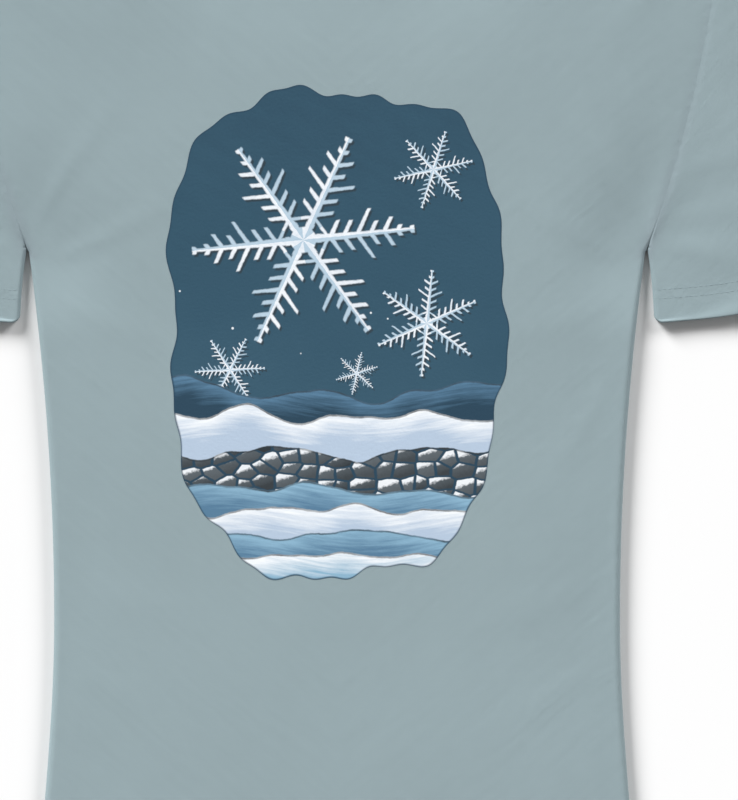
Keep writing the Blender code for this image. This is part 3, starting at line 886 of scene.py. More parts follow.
def collar_lines():
    """The band's seam line and inner edge, as closed loops in space with matching points.

    Each runs along the front from right to left, round the left shoulder's fold, back along the back
    of the neck, and round the right shoulder's fold. The folds are half circles, and the front rises
    by the square of the sine of its turn.
    """
    turn = np.linspace(0, math.pi, BAND_LINE_POINTS)
    bend = np.linspace(math.pi / 2, -math.pi / 2, BAND_FOLD_POINTS)[1:-1]
    radius = (BAND_FRONT_Z - BAND_BACK_Z) / 2
    fold_way = np.array([NECK_HALF - BAND_EDGE_HALF, NECK_Y - BAND_EDGE_Y])
    square = np.array([-fold_way[1], fold_way[0]]) / np.linalg.norm(fold_way)

    def loop(half, top, front_drop, back_drop, lift):
        """One closed line: the front's and the back's curves, joined round the shoulders' folds."""
        front = hang(turn, half, top, front_drop, True)
        back = hang(turn[::-1], half, top, back_drop, False)
        rise = (NECK_FRONT_Z - BAND_SINK - BAND_FRONT_Z + lift) * np.sin(turn) ** 2
        bend_z = BAND_BACK_Z + radius * (1 + np.sin(bend))
        run = radius * np.cos(bend)[:, None]
        left = front[-1] + run * square * np.array([-1, 1])
        right = back[-1] + run * square
        front, left = raised(front, BAND_FRONT_Z + rise), raised(left, bend_z)
        back, right = raised(back, BAND_BACK_Z), raised(right, bend_z[::-1])
        return np.concatenate([front, left, back, right])

    drops = FRONT_NECK_DROP - BAND_SEAM_IN, BACK_NECK_DROP - BAND_SEAM_IN
    seam = loop(NECK_HALF - 2 * BAND_SEAM_IN, NECK_Y + BAND_SEAM_IN, *drops, 0)
    drops = BAND_FRONT_EDGE_DROP, BAND_BACK_EDGE_DROP
    return seam, loop(BAND_EDGE_HALF, BAND_EDGE_Y, *drops, BAND_EDGE_LIFT)


def resampled(loop, lengths, wanted):
    """A closed loop's points at wanted lengths round it, by straight interpolation."""
    return np.stack([np.interp(wanted, lengths, loop[:, k]) for k in range(3)], axis=-1)


def collar_grid():
    """The ribbed band: a flat oval section carried round the neck, with a rib every RIB_PITCH.

    The section runs from the seam along the outside to the inner edge, round it, and back along the
    inside. A rib raises both faces by RIB_RISE times a power of |sin| of its phase round the neck, and
    grows from the seam by a soft step.
    """
    seam, edge = collar_lines()
    seam, edge = (np.concatenate([line, line[:1]]) for line in (seam, edge))
    lengths = lengths_along((seam + edge) / 2)
    ribs = round(lengths[-1] / RIB_PITCH)
    wanted = np.linspace(0, lengths[-1], ribs * RIB_STEPS + 1)[:-1]
    seam, edge = resampled(seam, lengths, wanted), resampled(edge, lengths, wanted)
    width = np.linalg.norm(edge - seam, axis=-1)[:, None]
    out = np.linspace(0, 1, BAND_FACE_POINTS)
    round_turn = np.linspace(math.pi / 2, -math.pi / 2, BAND_ROUND_POINTS)[1:-1]
    inset = BAND_HALF_THICK / width
    face = inset + (1 - 2 * inset) * out
    edge_round = 1 - inset + inset * np.cos(round_turn)
    seam_round = inset - inset * np.cos(round_turn)
    across = np.hstack([face, edge_round, face[:, ::-1], seam_round])
    outside = np.ones_like(out)
    side = np.concatenate([outside, np.sin(round_turn), -outside, -np.sin(round_turn)])
    middle = seam[:, None] + (edge - seam)[:, None] * across[..., None]
    around = np.roll(middle, -1, axis=0) - np.roll(middle, 1, axis=0)
    normal = -unit(np.cross(around, (edge - seam)[:, None]))
    phase = np.arange(len(wanted)) * math.pi / RIB_STEPS
    rib = RIB_RISE * (np.abs(np.sin(phase)) ** RIB_POWER)[:, None]
    growth = smooth_step(across, 0, RIB_START)
    thick = (BAND_HALF_THICK - RIB_RISE / 2 + rib * growth) * side
    grid = middle + normal * thick[..., None]
    flat = np.stack([np.broadcast_to(wanted[:, None], across.shape), across * width], axis=-1)
    return grid, flat, lengths[-1]


def tape_grid():
    """The neck tape: a strip of constant width below the back neck seam, on the inside.

    Each of its rows is the seam's curve moved down. It bows up across its width by a sine.
    """
    turn = np.linspace(TAPE_START, math.pi - TAPE_START, TAPE_POINTS)[::-1]
    top = neck(turn, False) - np.array([0, TAPE_BELOW_SEAM])
    down = np.linspace(TAPE_WIDTH, 0, TAPE_LINES)[:, None, None]
    plan = top - down * np.array([0, 1])
    bow = TAPE_BOW * np.sin(np.linspace(0, math.pi, TAPE_LINES))[:, None]
    return raised(plan, back_height(plan) + CLOTH / 2 + TAPE_CLEARANCE + bow)


# ------------------------------------------------------------------ meshes


def quads_of(shape, wrap_columns=False, wrap_rows=False):
    """The corners of a grid's cells, each as four vertex numbers in turn."""
    index = np.arange(shape[0] * shape[1]).reshape(shape[:2])
    if wrap_columns:
        index = np.hstack([index, index[:, :1]])
    if wrap_rows:
        index = np.vstack([index, index[:1]])
    cells = [index[:-1, :-1], index[:-1, 1:], index[1:, 1:], index[1:, :-1]]
    return np.stack(cells, axis=-1).reshape(-1, 4)


def make_piece(name, points, faces, material, flat=None, attributes=None, girth=None):
    """Makes a mesh piece from points and faces, moved to the frame, with its cloth UV map.

    Faces with an empty point are left out. On a piece that closes on itself girth is the full length
    round it, and the faces that close it carry on to that length instead of running back to 0.
    """
    points = np.asarray(points, float).reshape(-1, 3)
    faces = faces[~np.isnan(points[faces].sum(axis=(1, 2)))]
    used, faces = np.unique(faces, return_inverse=True)
    faces = faces.reshape(-1, 4)
    places = points[used] + np.array([0, UNDERARM_Y, 0])
    mesh = bpy.data.meshes.new(name)
    mesh.from_pydata(places.tolist(), [], faces.tolist())
    mesh.shade_smooth()
    if flat is not None:
        corners = flat.reshape(-1, 2)[used][faces]
        if girth is not None:
            behind = corners[..., 0].max(axis=1, keepdims=True) - corners[..., 0] > girth / 2
            corners[..., 0] += girth * behind
        layer = mesh.uv_layers.new(name="cloth")
        layer.data.foreach_set("uv", corners.ravel())
    for key, values in (attributes or {}).items():
        attribute = mesh.attributes.new(key, "FLOAT", "POINT")
        attribute.data.foreach_set("value", np.asarray(values, float).ravel()[used])
    mesh.materials.append(material)
    piece = bpy.data.objects.new(name, mesh)
    bpy.context.scene.collection.objects.link(piece)
    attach(piece, "root")
    return piece


def thicken(piece, thickness):
    """Gives a sheet its thickness, half to each side."""
    solid = piece.modifiers.new("thickness", "SOLIDIFY")
    solid.thickness = thickness
    solid.offset = 0
    solid.use_even_offset = False
    solid.use_rim = True


def flat_of(grid):
    """The tape's cloth coordinates: the length along each row, and along each column."""
    return np.stack([lengths_along(grid, axis=1), lengths_along(grid, axis=0)], axis=-1)


def straight_grain(grid):
    """A panel's cloth coordinates: its plan on the flat, and lengths onwards over the folds and hem.

    So the knit runs straight up the shirt and keeps its size as it turns under.
    """
    across, down = lengths_along(grid, axis=1), lengths_along(grid, axis=0)
    turned = len(FOLD_TURNS) + len(FLAP_SHARES)
    hem, last = HEM_PLIES + HEM_TURNS, grid.shape[1] - 1 - turned
    u, v = grid[..., 0].copy(), grid[..., 1].copy()
    u[:, :turned] = u[:, [turned]] - (across[:, [turned]] - across[:, :turned])
    u[:, last + 1 :] = u[:, [last]] + across[:, last + 1 :] - across[:, [last]]
    v[:hem] = v[hem] - (down[hem] - down[:hem])
    return np.stack([u, v], axis=-1)


def sleeve_grain(grid):
    """A sleeve's cloth coordinates: its plan, opened out at the outer fold and turned to its hem.

    Round a fold a point goes on square to the fold by its length round it. The lower layer is turned
    over about the fold's direction at its row, and the hem's ply goes on by its length.
    """
    hem, dive = HEM_PLIES + HEM_TURNS, len(DIVE_SHARES)
    ring = grid[hem:, :, :2]
    lower = SLEEVE_COLUMNS + SLEEVE_TURNS
    arc = EDGE_FOLD_RADIUS * math.pi / (SLEEVE_TURNS + 1) * np.arange(1, SLEEVE_TURNS + 1)[:, None]
    outer, inner = ring[:, SLEEVE_COLUMNS - 1, None], ring[:, :1]
    outer_way, inner_way = square_to(outer[:, 0], -1)[:, None], square_to(inner[:, 0], 1)[:, None]
    for way in (outer_way, inner_way):
        way[-dive:] = way[-dive - 1]
    plan = ring.copy()
    plan[:, SLEEVE_COLUMNS:lower] = outer + outer_way * arc
    plan[:, -SLEEVE_TURNS:] = inner + inner_way * arc[::-1]
    under = ring[:, lower:-SLEEVE_TURNS]
    out = ((under - outer) * outer_way).sum(-1, keepdims=True)
    plan[:, lower:-SLEEVE_TURNS] = under + (EDGE_FOLD_RADIUS * math.pi - 2 * out) * outer_way
    hem_way = (SLEEVE_OUTER - SLEEVE_INNER) / np.linalg.norm(SLEEVE_OUTER - SLEEVE_INNER)
    flat = np.stack([plan @ hem_way, plan @ np.array([-hem_way[1], hem_way[0]])], axis=-1)
    down = lengths_along(grid[: hem + 1])
    ply = flat[0] - np.stack([0 * down, down[hem] - down], axis=-1)[:hem]
    return np.concatenate([ply, flat])


# ------------------------------------------------------------------ stitches


def stitch_run(path, square, closed=False):
    """A row of stitches that follow a path: points along each one, its direction and the normal there.

    Their middles are evenly spaced along it, and each one's points are even steps from its middle.
    """
    if closed:
        path, square = np.vstack([path, path[:1]]), np.vstack([square, square[:1]])
    lengths = lengths_along(path)
    count = int(lengths[-1] // STITCH_PITCH)
    middle = (np.arange(count) + 0.5) * lengths[-1] / count
    at = middle[:, None] + STITCH_SHARES * STITCH_LENGTH / 2
    step = STITCH_LENGTH / len(STITCH_SHARES)

    def sample(values, at):
        """Values at lengths along the path, by straight interpolation."""
        return np.stack([np.interp(at, lengths, values[:, k]) for k in range(3)], axis=-1)

    way = unit(sample(path, at + step) - sample(path, at - step))
    up = sample(square, at)
    up = unit(up - (up * way).sum(-1, keepdims=True) * way)
    return sample(path, at), way, up


def make_stitches(name, runs, thread):
    """Threads as short arched tubes: a ring of six points at each share s, of radius r sqrt(1 - s^4).

    s runs from -1 to 1 along the stitch, and its middle line rises by r (1.1 - 1.5 s^2) less the
    depth that it pulls into the cloth, so both ends go under the surface.
    """
    place, way, up = (np.concatenate([run[k] for run in runs]) for k in range(3))
    side = np.cross(way, up)
    angle = np.linspace(0, 2 * math.pi, STITCH_SIDES + 1)[:-1]
    thick = THREAD_RADIUS * np.sqrt(np.maximum(1 - STITCH_SHARES**4, 0.06))[:, None]
    rise = (THREAD_RADIUS * (1.1 - 1.5 * STITCH_SHARES**2) - STITCH_BURY)[:, None]
    ring_up = (rise + thick * np.sin(angle))[..., None]
    ring_side = (thick * np.cos(angle))[..., None]
    points = place[:, :, None] + ring_up * up[:, :, None] + ring_side * side[:, :, None]
    rings = len(STITCH_SHARES)
    one = quads_of((rings, STITCH_SIDES), wrap_columns=True)[:, ::-1]
    caps = np.array([[0, 1, 2, 3], [0, 3, 4, 5]])
    one = np.vstack([one, caps, STITCH_SIDES * (rings - 1) + caps[:, ::-1]])
    faces = one[None] + STITCH_SIDES * rings * np.arange(len(place))[:, None, None]
    make_piece(name, points, faces.reshape(-1, 4), thread)


def hem_stitches(name, grid, normals, drawn_in, thread, closed):
    """The twin rows along a hem: at even lengths from its edge, less what its corners draw in."""
    lengths = lengths_along(grid)
    runs = []
    for depth in HEM_ROWS:
        path = at_length(grid, lengths, depth - drawn_in)
        square = at_length(normals, lengths, depth - drawn_in)
        runs.append(stitch_run(path + square * CLOTH / 2, square, closed))
    make_stitches(name + "_hem_stitches", runs, thread)


def on_front(plan):
    """Points on the front's outer face above a line in plan, with its normals there.

    A normal is (-a, -b, 1), where a and b are the face's slopes, by central differences.
    """
    step = 0.0004
    slopes = [
        (front_height(plan + step * way) - front_height(plan - step * way)) / (2 * step)
        for way in (np.array([1, 0]), np.array([0, 1]))
    ]
    square = unit(np.stack([-slopes[0], -slopes[1], np.ones(len(plan))], axis=-1))
    return raised(plan, front_height(plan) + CLOTH / 2), square


# ------------------------------------------------------------------ shader fields


class Field:
    """A value at each point of a surface, worked out by math nodes: arithmetic on it adds nodes."""

    def __init__(self, tree, socket):
        self.tree, self.socket = tree, socket

    def make(self, operation, *others, clamp=False):
        """The result of a math operation on this value and the others, each a field or a number."""
        inputs = dict(enumerate((self, *others)))
        node = add_node(self.tree, "Math", inputs, operation=operation, use_clamp=clamp)
        return Field(self.tree, node.outputs[0])

    def __add__(self, other):
        return self.make("ADD", other)

    def __sub__(self, other):
        return self.make("SUBTRACT", other)

    def __mul__(self, other):
        return self.make("MULTIPLY", other)

    def __truediv__(self, other):
        return self.make("DIVIDE", other)

    def __abs__(self):
        return self.make("ABSOLUTE")

    def over(self, other):
        """The greater of the two."""
        return self.make("MAXIMUM", other)

    def under(self, other):
        """The lesser of the two."""
        return self.make("MINIMUM", other)

    def line(self, slope, start, clamp=False):
        """The straight line slope * value + start."""
        return self.make("MULTIPLY_ADD", slope, start, clamp=clamp)

    def share(self, slope=1.0, start=0.0):
        """The same straight line, kept between 0 and 1."""
        return self.line(slope, start, clamp=True)

    def below(self, limit, soft):
        """1 where the value is under the limit, 0 over it, with an edge as wide as soft."""
        return self.share(-1 / soft, limit / soft + 0.5)


def feed(node, inputs):
    """Fills a node's inputs: each with a field, another node's output or a plain value."""
    for place, value in inputs.items():
        value = value.socket if isinstance(value, Field) else value
        if isinstance(value, bpy.types.NodeSocket):
            node.id_data.links.new(value, node.inputs[place])
        else:
            node.inputs[place].default_value = value


def add_node(tree, kind, inputs, **settings):
    """A new node of a kind, with its settings and its inputs."""
    node = tree.nodes.new("ShaderNode" + kind)
    for key, value in settings.items():
        setattr(node, key, value)
    feed(node, inputs)
    return node


def new_material(name):
    """A material with a bare Principled shader: returns it with its tree and shader."""
    material = bpy.data.materials.new(name)
    material.use_nodes = True
    return material, material.node_tree, material.node_tree.nodes["Principled BSDF"]


def split(tree, vector):
    """The first two parts of a vector, as fields."""
    node = add_node(tree, "SeparateXYZ", {0: vector})
    return Field(tree, node.outputs[0]), Field(tree, node.outputs[1])


def joined(tree, x, y):
    """A vector made of two fields."""
    return add_node(tree, "CombineXYZ", {0: x, 1: y}).outputs[0]


def cloth_place(tree):
    """The piece's place on its cloth, in metres: as two fields and as a vector."""
    uv = add_node(tree, "UVMap", {}, uv_map="cloth").outputs["UV"]
    return (*split(tree, uv), uv)


def attribute(tree, name):
    """A value stored with the piece's points, as a field."""
    return Field(tree, add_node(tree, "Attribute", {}, attribute_name=name).outputs["Fac"])


def placed(tree, vector, scale, turn=0.0):
    """A vector turned about the origin and then stretched."""
    if turn:
        vector = add_node(tree, "Mapping", {"Rotation": (0, 0, turn), "Vector": vector}).outputs[0]
    return add_node(tree, "Mapping", {"Scale": scale, "Vector": vector}).outputs[0]


def noise_node(tree, scale, detail, roughness, inputs, **settings):
    """A noise texture, whose place is among its inputs."""
    inputs = {"Scale": scale, "Detail": detail, "Roughness": roughness, **inputs}
    return add_node(tree, "TexNoise", inputs, **settings)


def noise(tree, vector, scale, detail=3.0, roughness=0.55):
    """A noise field from -1 to 1."""
    node = noise_node(tree, scale, detail, roughness, {"Vector": vector})
    return Field(tree, node.outputs[0]).line(2, -1)


def mixed(tree, first, second, share):
    """A colour between two colours, each an output or a plain triple, by a field's share."""
    first, second = ((*c, 1) if isinstance(c, tuple) else c for c in (first, second))
    inputs = {"Factor": share, 6: first, 7: second}
    return add_node(tree, "Mix", inputs, data_type="RGBA").outputs[2]


def finish(tree, shader, colour, height, depth, surface):
    """Feeds the shader its colour, its relief from a height field and a depth in metres, and the rest."""
    relief = add_node(tree, "Bump", {"Distance": depth, "Height": height}).outputs[0]
    feed(shader, {"Base Color": colour, "Normal": relief, **surface})


# Jersey's loops: a column's width, a row's height, and how far back their phase falls at the column's
# edges, in turns. Its marks: how many streaks and slubs there are a metre, across and up, with the
# streaks' slant, and how fine its mottle and its puckers are. Then its relief's depth, and the share of
# each part of its colour that is left where shade is painted beside the armhole seam.
WALE, COURSE, LOOP_LEAN = 0.00064, 0.00056, 0.65
STREAKS, STREAK_SLANT = (190, 32, 1), math.radians(50)
SLUBS = (60, 1500, 1)
MOTTLE, PUCKERS = 42.0, 180.0
KNIT_DEPTH = 0.00022
SEAM_PAINTED_SHADE = (0.86, 0.80, 0.84)


def knit_height(u, v):
    """Jersey's face: columns of V-shaped loops, a wale apart and a course high.

    lean is 0 in the middle of a column and 1 at its edges. The column is 1 - lean^3 high, times a
    sine along it, whose phase falls back by lean so that the loops slant.
    """
    lean = abs((u / WALE).make("FRACT").line(2, -1))
    turns = v.line(2 * math.pi / COURSE, 0) - lean * (2 * math.pi * LOOP_LEAN)
    return lean.make("POWER", 3.0).line(-1, 1) * turns.make("SINE").line(0.275, 0.725)


def tinted(colour, *shares):
    """A colour times a share, or times one share for each of its parts."""
    shares = shares if len(shares) == 3 else shares * 3
    return tuple(part * share for part, share in zip(colour, shares))


# Cotton's dull face, with a little fuzz that catches the light, and the slight gloss of thread and ink.
COTTON_FACE = {
    "Roughness": 0.88,
    "Specular IOR Level": 0.22,
    "Sheen Weight": 0.05,
    "Sheen Roughness": 0.6,
    "Sheen Tint": (0.75, 0.85, 0.9, 1),
}
THREAD_FACE = {"Roughness": 0.55, "Specular IOR Level": 0.35}
INK_FACE = {"Roughness": 0.66, "Specular IOR Level": 0.28}


def cloth_material(name, colour, sewn=True):
    """Jersey: a knit face, faint streaks that slant inwards and down, a soft mottle and puckers."""
    material, tree, shader = new_material(name)
    u, v, uv = cloth_place(tree)
    halves = placed(tree, joined(tree, abs(u), v), STREAKS, STREAK_SLANT)
    streaks = noise(tree, halves, 1.0, 2.0)
    mottle = noise(tree, uv, MOTTLE, 4.0)
    slub = noise(tree, placed(tree, uv, SLUBS), 1.0, 2.0)
    tone = streaks * 0.45 + mottle * 0.3 + slub * 0.25
    shade = mixed(tree, tinted(colour, 0.95), tinted(colour, 1.05), tone.share(0.5, 0.5))
    height = knit_height(u, v) * 0.35 + streaks * 0.35 + mottle * 0.25
    if sewn:
        # Painted shade beside the armhole seam: the seam mark mixes in a darker, cooler colour.
        shade = mixed(tree, shade, tinted(colour, *SEAM_PAINTED_SHADE), attribute(tree, "seam"))
        height = height + noise(tree, uv, PUCKERS, 2.0) * attribute(tree, "pucker") * 0.8
    finish(tree, shader, shade, height, KNIT_DEPTH, COTTON_FACE)
    return material


def rib_material(colour):
    """The band's rib knit: fine loops down each rib, and shade painted into the grooves between ribs."""
    material, tree, shader = new_material("rib_knit")
    u, v, uv = cloth_place(tree)
    groove = abs(u.line(math.pi / RIB_PITCH, 0).make("SINE")).make("POWER", 0.7)
    mottle = noise(tree, uv, 60.0, 3.0)
    share = (groove * 0.8 + mottle * 0.15).share(1, 0.1)
    # Painted shade: the colour is darker in the grooves between the ribs.
    shade = mixed(tree, tinted(colour, 0.80), tinted(colour, 1.05), share)
    loops = v.line(2 * math.pi / LOOP_PITCH, 0).make("SINE") * 0.5
    finish(tree, shader, shade, loops * groove + mottle * 0.4, 0.00012, COTTON_FACE)
    return material


def thread_material(colour):
    """Twisted sewing thread: a slight gloss, and a tone that changes a little along each stitch."""
    material, tree, shader = new_material("sewing_thread")
    tone = noise(tree, add_node(tree, "TexCoord", {}).outputs["Object"], 900.0, 2.0)
    shade = mixed(tree, tinted(colour, 0.88), tinted(colour, 1.10), tone.share(0.5, 0.5))
    finish(tree, shader, shade, tone, 0.00005, THREAD_FACE)
    return material


# ------------------------------------------------------------------ the print

NIGHT = (0.024, 0.076, 0.120)
DEEP_NIGHT = (0.015, 0.050, 0.086)
PALE_NIGHT = (0.038, 0.100, 0.150)
CHARCOAL = (0.020, 0.027, 0.032)
SLATE = (0.085, 0.105, 0.120)
PALE_SLATE = (0.15, 0.175, 0.195)
SNOW = (0.84, 0.87, 0.90)
LAVENDER = (0.43, 0.53, 0.66)
ICE = (0.24, 0.42, 0.56)
STEEL = (0.085, 0.190, 0.300)

STARS = (
    # middle, radius and turn; the first is the largest
    ((-0.020, 0.056), 0.067, 0.10),
    ((0.054, 0.006), 0.032, 0.42),
    ((0.058, 0.098), 0.024, 0.22),
    ((-0.064, -0.022), 0.021, 0.05),
    ((0.012, -0.024), 0.013, 0.30),
)

# An ice star's shape, in its own radii: its edges' softness, its arms' half width and taper, the step
# between side branches, their half width and taper, how their reach grows and then declines outwards,
# as slope for each branch and start, how uneven it is from one to the next, and the radii and half
# widths of its hexagonal rings.
STAR_EDGE = 0.012
ARM_WIDTH, ARM_TAPER = 0.038, 0.026
BRANCH_STEP = 0.105
BRANCH_WIDTH, BRANCH_TAPER = 0.019, 0.03
BRANCH_GROWTH, BRANCH_DECLINE = (0.080, -0.015), (-0.047, 0.41)
BRANCH_UNEVEN = (0.20, 0.80)
STAR_RINGS = ((0.085, 0.030), (0.195, 0.014))

# The ink's marks: how fine and how wide its edges shiver, and how fine its clouds, grain and flecks are.
# Its brush strokes, the drifts' strokes and the stones are each given as how many a metre, across and
# up, and the brush strokes have a turn. Then where the stars' shade falls, and the relief's depth.
SHIVER, SHIVER_REACH = 330.0, (0.0009, 0.0009, 0)
CLOUDS, GRAIN, FLECKS = 15.0, 520.0, 96
BRUSH, BRUSH_TURN = (34, 130, 1), 0.5
DRIFT_STROKES = (30, 420, 1)
STONES = (84, 128, 1)
STAR_SHADE = (-0.0012, 0.0014, 0)
INK_DEPTH = 0.00016

DRIFTS = (
    # level, swing, hills per metre, seed, and the tones at the crest and below it
    (-0.034, 0.022, 17, 3.1, STEEL, DEEP_NIGHT),
    (-0.050, 0.018, 19, 8.7, SNOW, LAVENDER),
    (-0.071, 0.014, 22, 5.3, None, None),
    (-0.094, 0.012, 20, 1.9, ICE, STEEL),
    (-0.106, 0.010, 24, 7.4, SNOW, LAVENDER),
    (-0.120, 0.010, 21, 4.2, ICE, STEEL),
    (-0.133, 0.008, 25, 9.6, SNOW, ICE),
)


def nearest_star(tree, vector):
    """The place within the star that covers a point, in that star's radii and by its turn."""
    chosen = None
    for middle, radius, turn in STARS:
        inputs = {"Location": (*middle, 0), "Rotation": (0, 0, turn), "Scale": (radius, radius, 1)}
        inputs["Vector"] = vector
        local = add_node(tree, "Mapping", inputs, vector_type="TEXTURE").outputs[0]
        if chosen is None:
            chosen = local
            continue
        length = add_node(tree, "VectorMath", {0: local}, operation="LENGTH").outputs["Value"]
        inputs = {"Factor": Field(tree, length).make("LESS_THAN", 1.04), 4: chosen, 5: local}
        chosen = add_node(tree, "Mix", inputs, data_type="VECTOR").outputs[1]
    return chosen


def star_ink(tree, vector):
    """An ice star's ink, from 0 to 1, and which side of its arm each point lies on.

    The plane is folded into one twelfth of a turn about the middle. In it the ink is a tapering
    stem along the arm, side branches that leave it at 60 degrees at even steps, each with its own
    reach, and two hexagonal rings.
    """
    x, y = split(tree, vector)
    far = (x * x + y * y).make("SQRT")
    turned = y.make("ARCTAN2", x)
    angle = turned.make("PINGPONG", math.pi / 6)
    along, aside = far * angle.make("COSINE"), far * angle.make("SINE")
    ink = (along.line(ARM_TAPER, 0) + aside).below(ARM_WIDTH, STAR_EDGE)
    lean = along * 0.866 - aside * 0.5
    index = (lean / BRANCH_STEP).make("ROUND")
    off = abs(lean - index * BRANCH_STEP)
    uneven = index.line(math.pi, 0).make("COSINE").line(*BRANCH_UNEVEN)
    reach = index.line(*BRANCH_GROWTH).under(index.line(*BRANCH_DECLINE)) * uneven
    branch = (off + aside * BRANCH_TAPER).below(BRANCH_WIDTH, STAR_EDGE)
    branch = branch * (aside - reach).below(0, STAR_EDGE)
    ink = ink.over(branch * index.make("GREATER_THAN", 0.5))
    hexagon = far * angle.line(-1, math.pi / 6).make("COSINE")
    for ring, half_width in STAR_RINGS:
        ink = ink.over(abs(hexagon - ring).below(half_width, STAR_EDGE))
    side = turned.line(3 / math.pi, 0.0).make("FRACT").make("LESS_THAN", 0.5)
    return ink * far.below(1.0, STAR_EDGE), side


def stones(tree, vector, grain):
    """Rounded charcoal stones with frosted tops: returns their colour, with dark water between.

    They are the cells of a Voronoi pattern. Each is lit by how far up and left of its own middle
    a point lies, and frosted where that is greatest.
    """
    place = placed(tree, vector, STONES)
    inputs = {"Scale": 1, "Randomness": 0.8, "Vector": place}
    cell, gap = (
        add_node(tree, "TexVoronoi", inputs, voronoi_dimensions="2D", feature=feature)
        for feature in ("F1", "DISTANCE_TO_EDGE")
    )
    x, y = split(tree, place)
    middle_x, middle_y = split(tree, cell.outputs["Position"])
    lit = (y - middle_y) * 0.9 - (x - middle_x) * 0.45 + grain * 0.22
    edge = Field(tree, gap.outputs["Distance"])
    tone, _ = split(tree, cell.outputs["Color"])
    body = mixed(tree, CHARCOAL, SLATE, lit.share(1, 0.42))
    body = mixed(tree, body, PALE_SLATE, tone * 0.45)
    body = mixed(tree, body, SNOW, lit.share(5, -0.9) * 0.92)
    return mixed(tree, body, DEEP_NIGHT, edge.below(0.075, 0.05))


def print_material():
    """Screen ink on the cloth: ice stars over a night-blue field, drifts of ice, and stones."""
    material, tree, shader = new_material("print_ink")
    u, v, uv = cloth_place(tree)
    shiver = noise_node(tree, SHIVER, 2.0, 0.55, {"Vector": uv})
    inputs = {0: shiver.outputs["Color"], 1: SHIVER_REACH, 2: uv}
    wet = add_node(tree, "VectorMath", inputs, operation="MULTIPLY_ADD").outputs[0]
    _, wet_v = split(tree, wet)

    cloud = noise(tree, uv, CLOUDS, 5.0, roughness=0.6)
    grain = noise(tree, uv, GRAIN, 3.0)
    brush = noise(tree, placed(tree, uv, BRUSH, BRUSH_TURN), 1.0, 4.0)
    height = v.line(0.5 / PRINT_HALF[1], 0.42) + cloud * 0.20
    colour = mixed(tree, PALE_NIGHT, NIGHT, height.share(2))
    colour = mixed(tree, colour, DEEP_NIGHT, (height + brush * 0.35 + grain * 0.15).share(1, -0.62))

    cells = add_node(tree, "TexVoronoi", {"Scale": FLECKS, "Vector": uv})
    size, _ = split(tree, cells.outputs["Color"])
    flecks = (Field(tree, cells.outputs["Distance"]) - size.line(0.20, -0.124)).below(0, 0.04)
    colour = mixed(tree, colour, SNOW, flecks * 0.9)

    aside = add_node(tree, "Mapping", {"Location": STAR_SHADE, "Vector": wet}).outputs[0]
    cast, _ = star_ink(tree, nearest_star(tree, aside))
    colour = mixed(tree, colour, CHARCOAL, cast * 0.7)
    ink, side = star_ink(tree, nearest_star(tree, wet))
    light = cloud * 0.45 + brush * 0.35 + grain * 0.30
    arm = mixed(tree, ICE, mixed(tree, LAVENDER, SNOW, light.share(1, 0.80)), side.line(0.62, 0.38))
    colour = mixed(tree, colour, arm, ink)

    flow = joined(tree, u, v + u.line(38, 1).make("SINE") * 0.005)
    flow = placed(tree, flow, DRIFT_STROKES)
    strokes = noise(tree, flow, 1.0, 4.0, roughness=0.6) * 0.85 + cloud * 0.25
    for level, swing, hills, seed, light, dark in DRIFTS:
        crest = noise_node(tree, 1, 1.5, 0.3, {"W": u.line(hills, seed)}, noise_dimensions="1D")
        depth = Field(tree, crest.outputs[0]).line(2 * swing, level - swing) - wet_v
        if light is None:
            body = stones(tree, wet, grain)
        else:
            body = mixed(tree, light, dark, (strokes + depth.line(70, 0)).share(1, 0.05))
        colour = mixed(tree, colour, body, depth.share(1500, 0.5))
        edge = abs(depth - 0.0004).below(0.0005, 0.0006)
        colour = mixed(tree, colour, CHARCOAL, edge * brush.share(0.6, 0.65))

    rim = attribute(tree, "rim") + cloud * 0.0006
    colour = mixed(tree, colour, DEEP_NIGHT, rim.below(0.0007, 0.0009) * 0.85)
    relief = knit_height(u, v) * 0.25 + grain * 0.35 + cloud * 0.3
    finish(tree, shader, colour, relief, INK_DEPTH, INK_FACE)
    return material


LUMPS = (
    # how many round the edge, phase, and rise as a share of the reach
    (3, 0.4, 0.022),
    (7, 1.9, 0.018),
    (13, 2.6, 0.016),
    (29, 0.8, 0.008),
)


def print_outline(turn):
    """The print's edge as unit plan points: a rounded block with uneven, lumpy sides.

    Its reach is that of |x|^3 + |y|^3 = 1, times one plus a sine of the turn for each row of LUMPS.
    The points are scaled so that the print just fills its half sizes.
    """
    reach = (np.abs(np.cos(turn)) ** 3 + np.abs(np.sin(turn)) ** 3) ** (-1 / 3)
    for count, phase, rise in LUMPS:
        reach = reach * (1 + rise * np.sin(count * turn + phase))
    points = np.stack([np.cos(turn), np.sin(turn)], axis=-1) * reach[:, None]
    low, high = points.min(axis=0), points.max(axis=0)
    return (2 * points - low - high) / (high - low)


def print_grid():
    """The print as a disc laid on the front's surface, with its flat plan and each point's edge distance.

    Each ring is the outline times a share that shrinks evenly. The last ring closes to its mean. The
    distance from the edge is the share that is gone times the outline's reach, a little less because
    the edge slants.
    """
    turn = np.linspace(0, 2 * math.pi, PRINT_POINTS + 1)[:-1]
    rings = np.linspace(1, PRINT_LEAST_RING, PRINT_RINGS)
    edge = print_outline(turn) * PRINT_HALF
    flat = rings[:, None, None] * edge
    plan = PRINT_MIDDLE + flat
    rim = (1 - rings)[:, None] * np.linalg.norm(edge, axis=-1) * PRINT_SLANT
    grid = raised(plan, front_height(plan) + CLOTH / 2 + INK)
    middle = np.broadcast_to(grid[-1].mean(axis=0), grid[-1:].shape)
    grid, flat = np.concatenate([grid, middle]), np.concatenate([flat, np.zeros_like(flat[-1:])])
    return grid, flat, np.concatenate([rim, rim[-1:]])


# ------------------------------------------------------------------ making the pieces

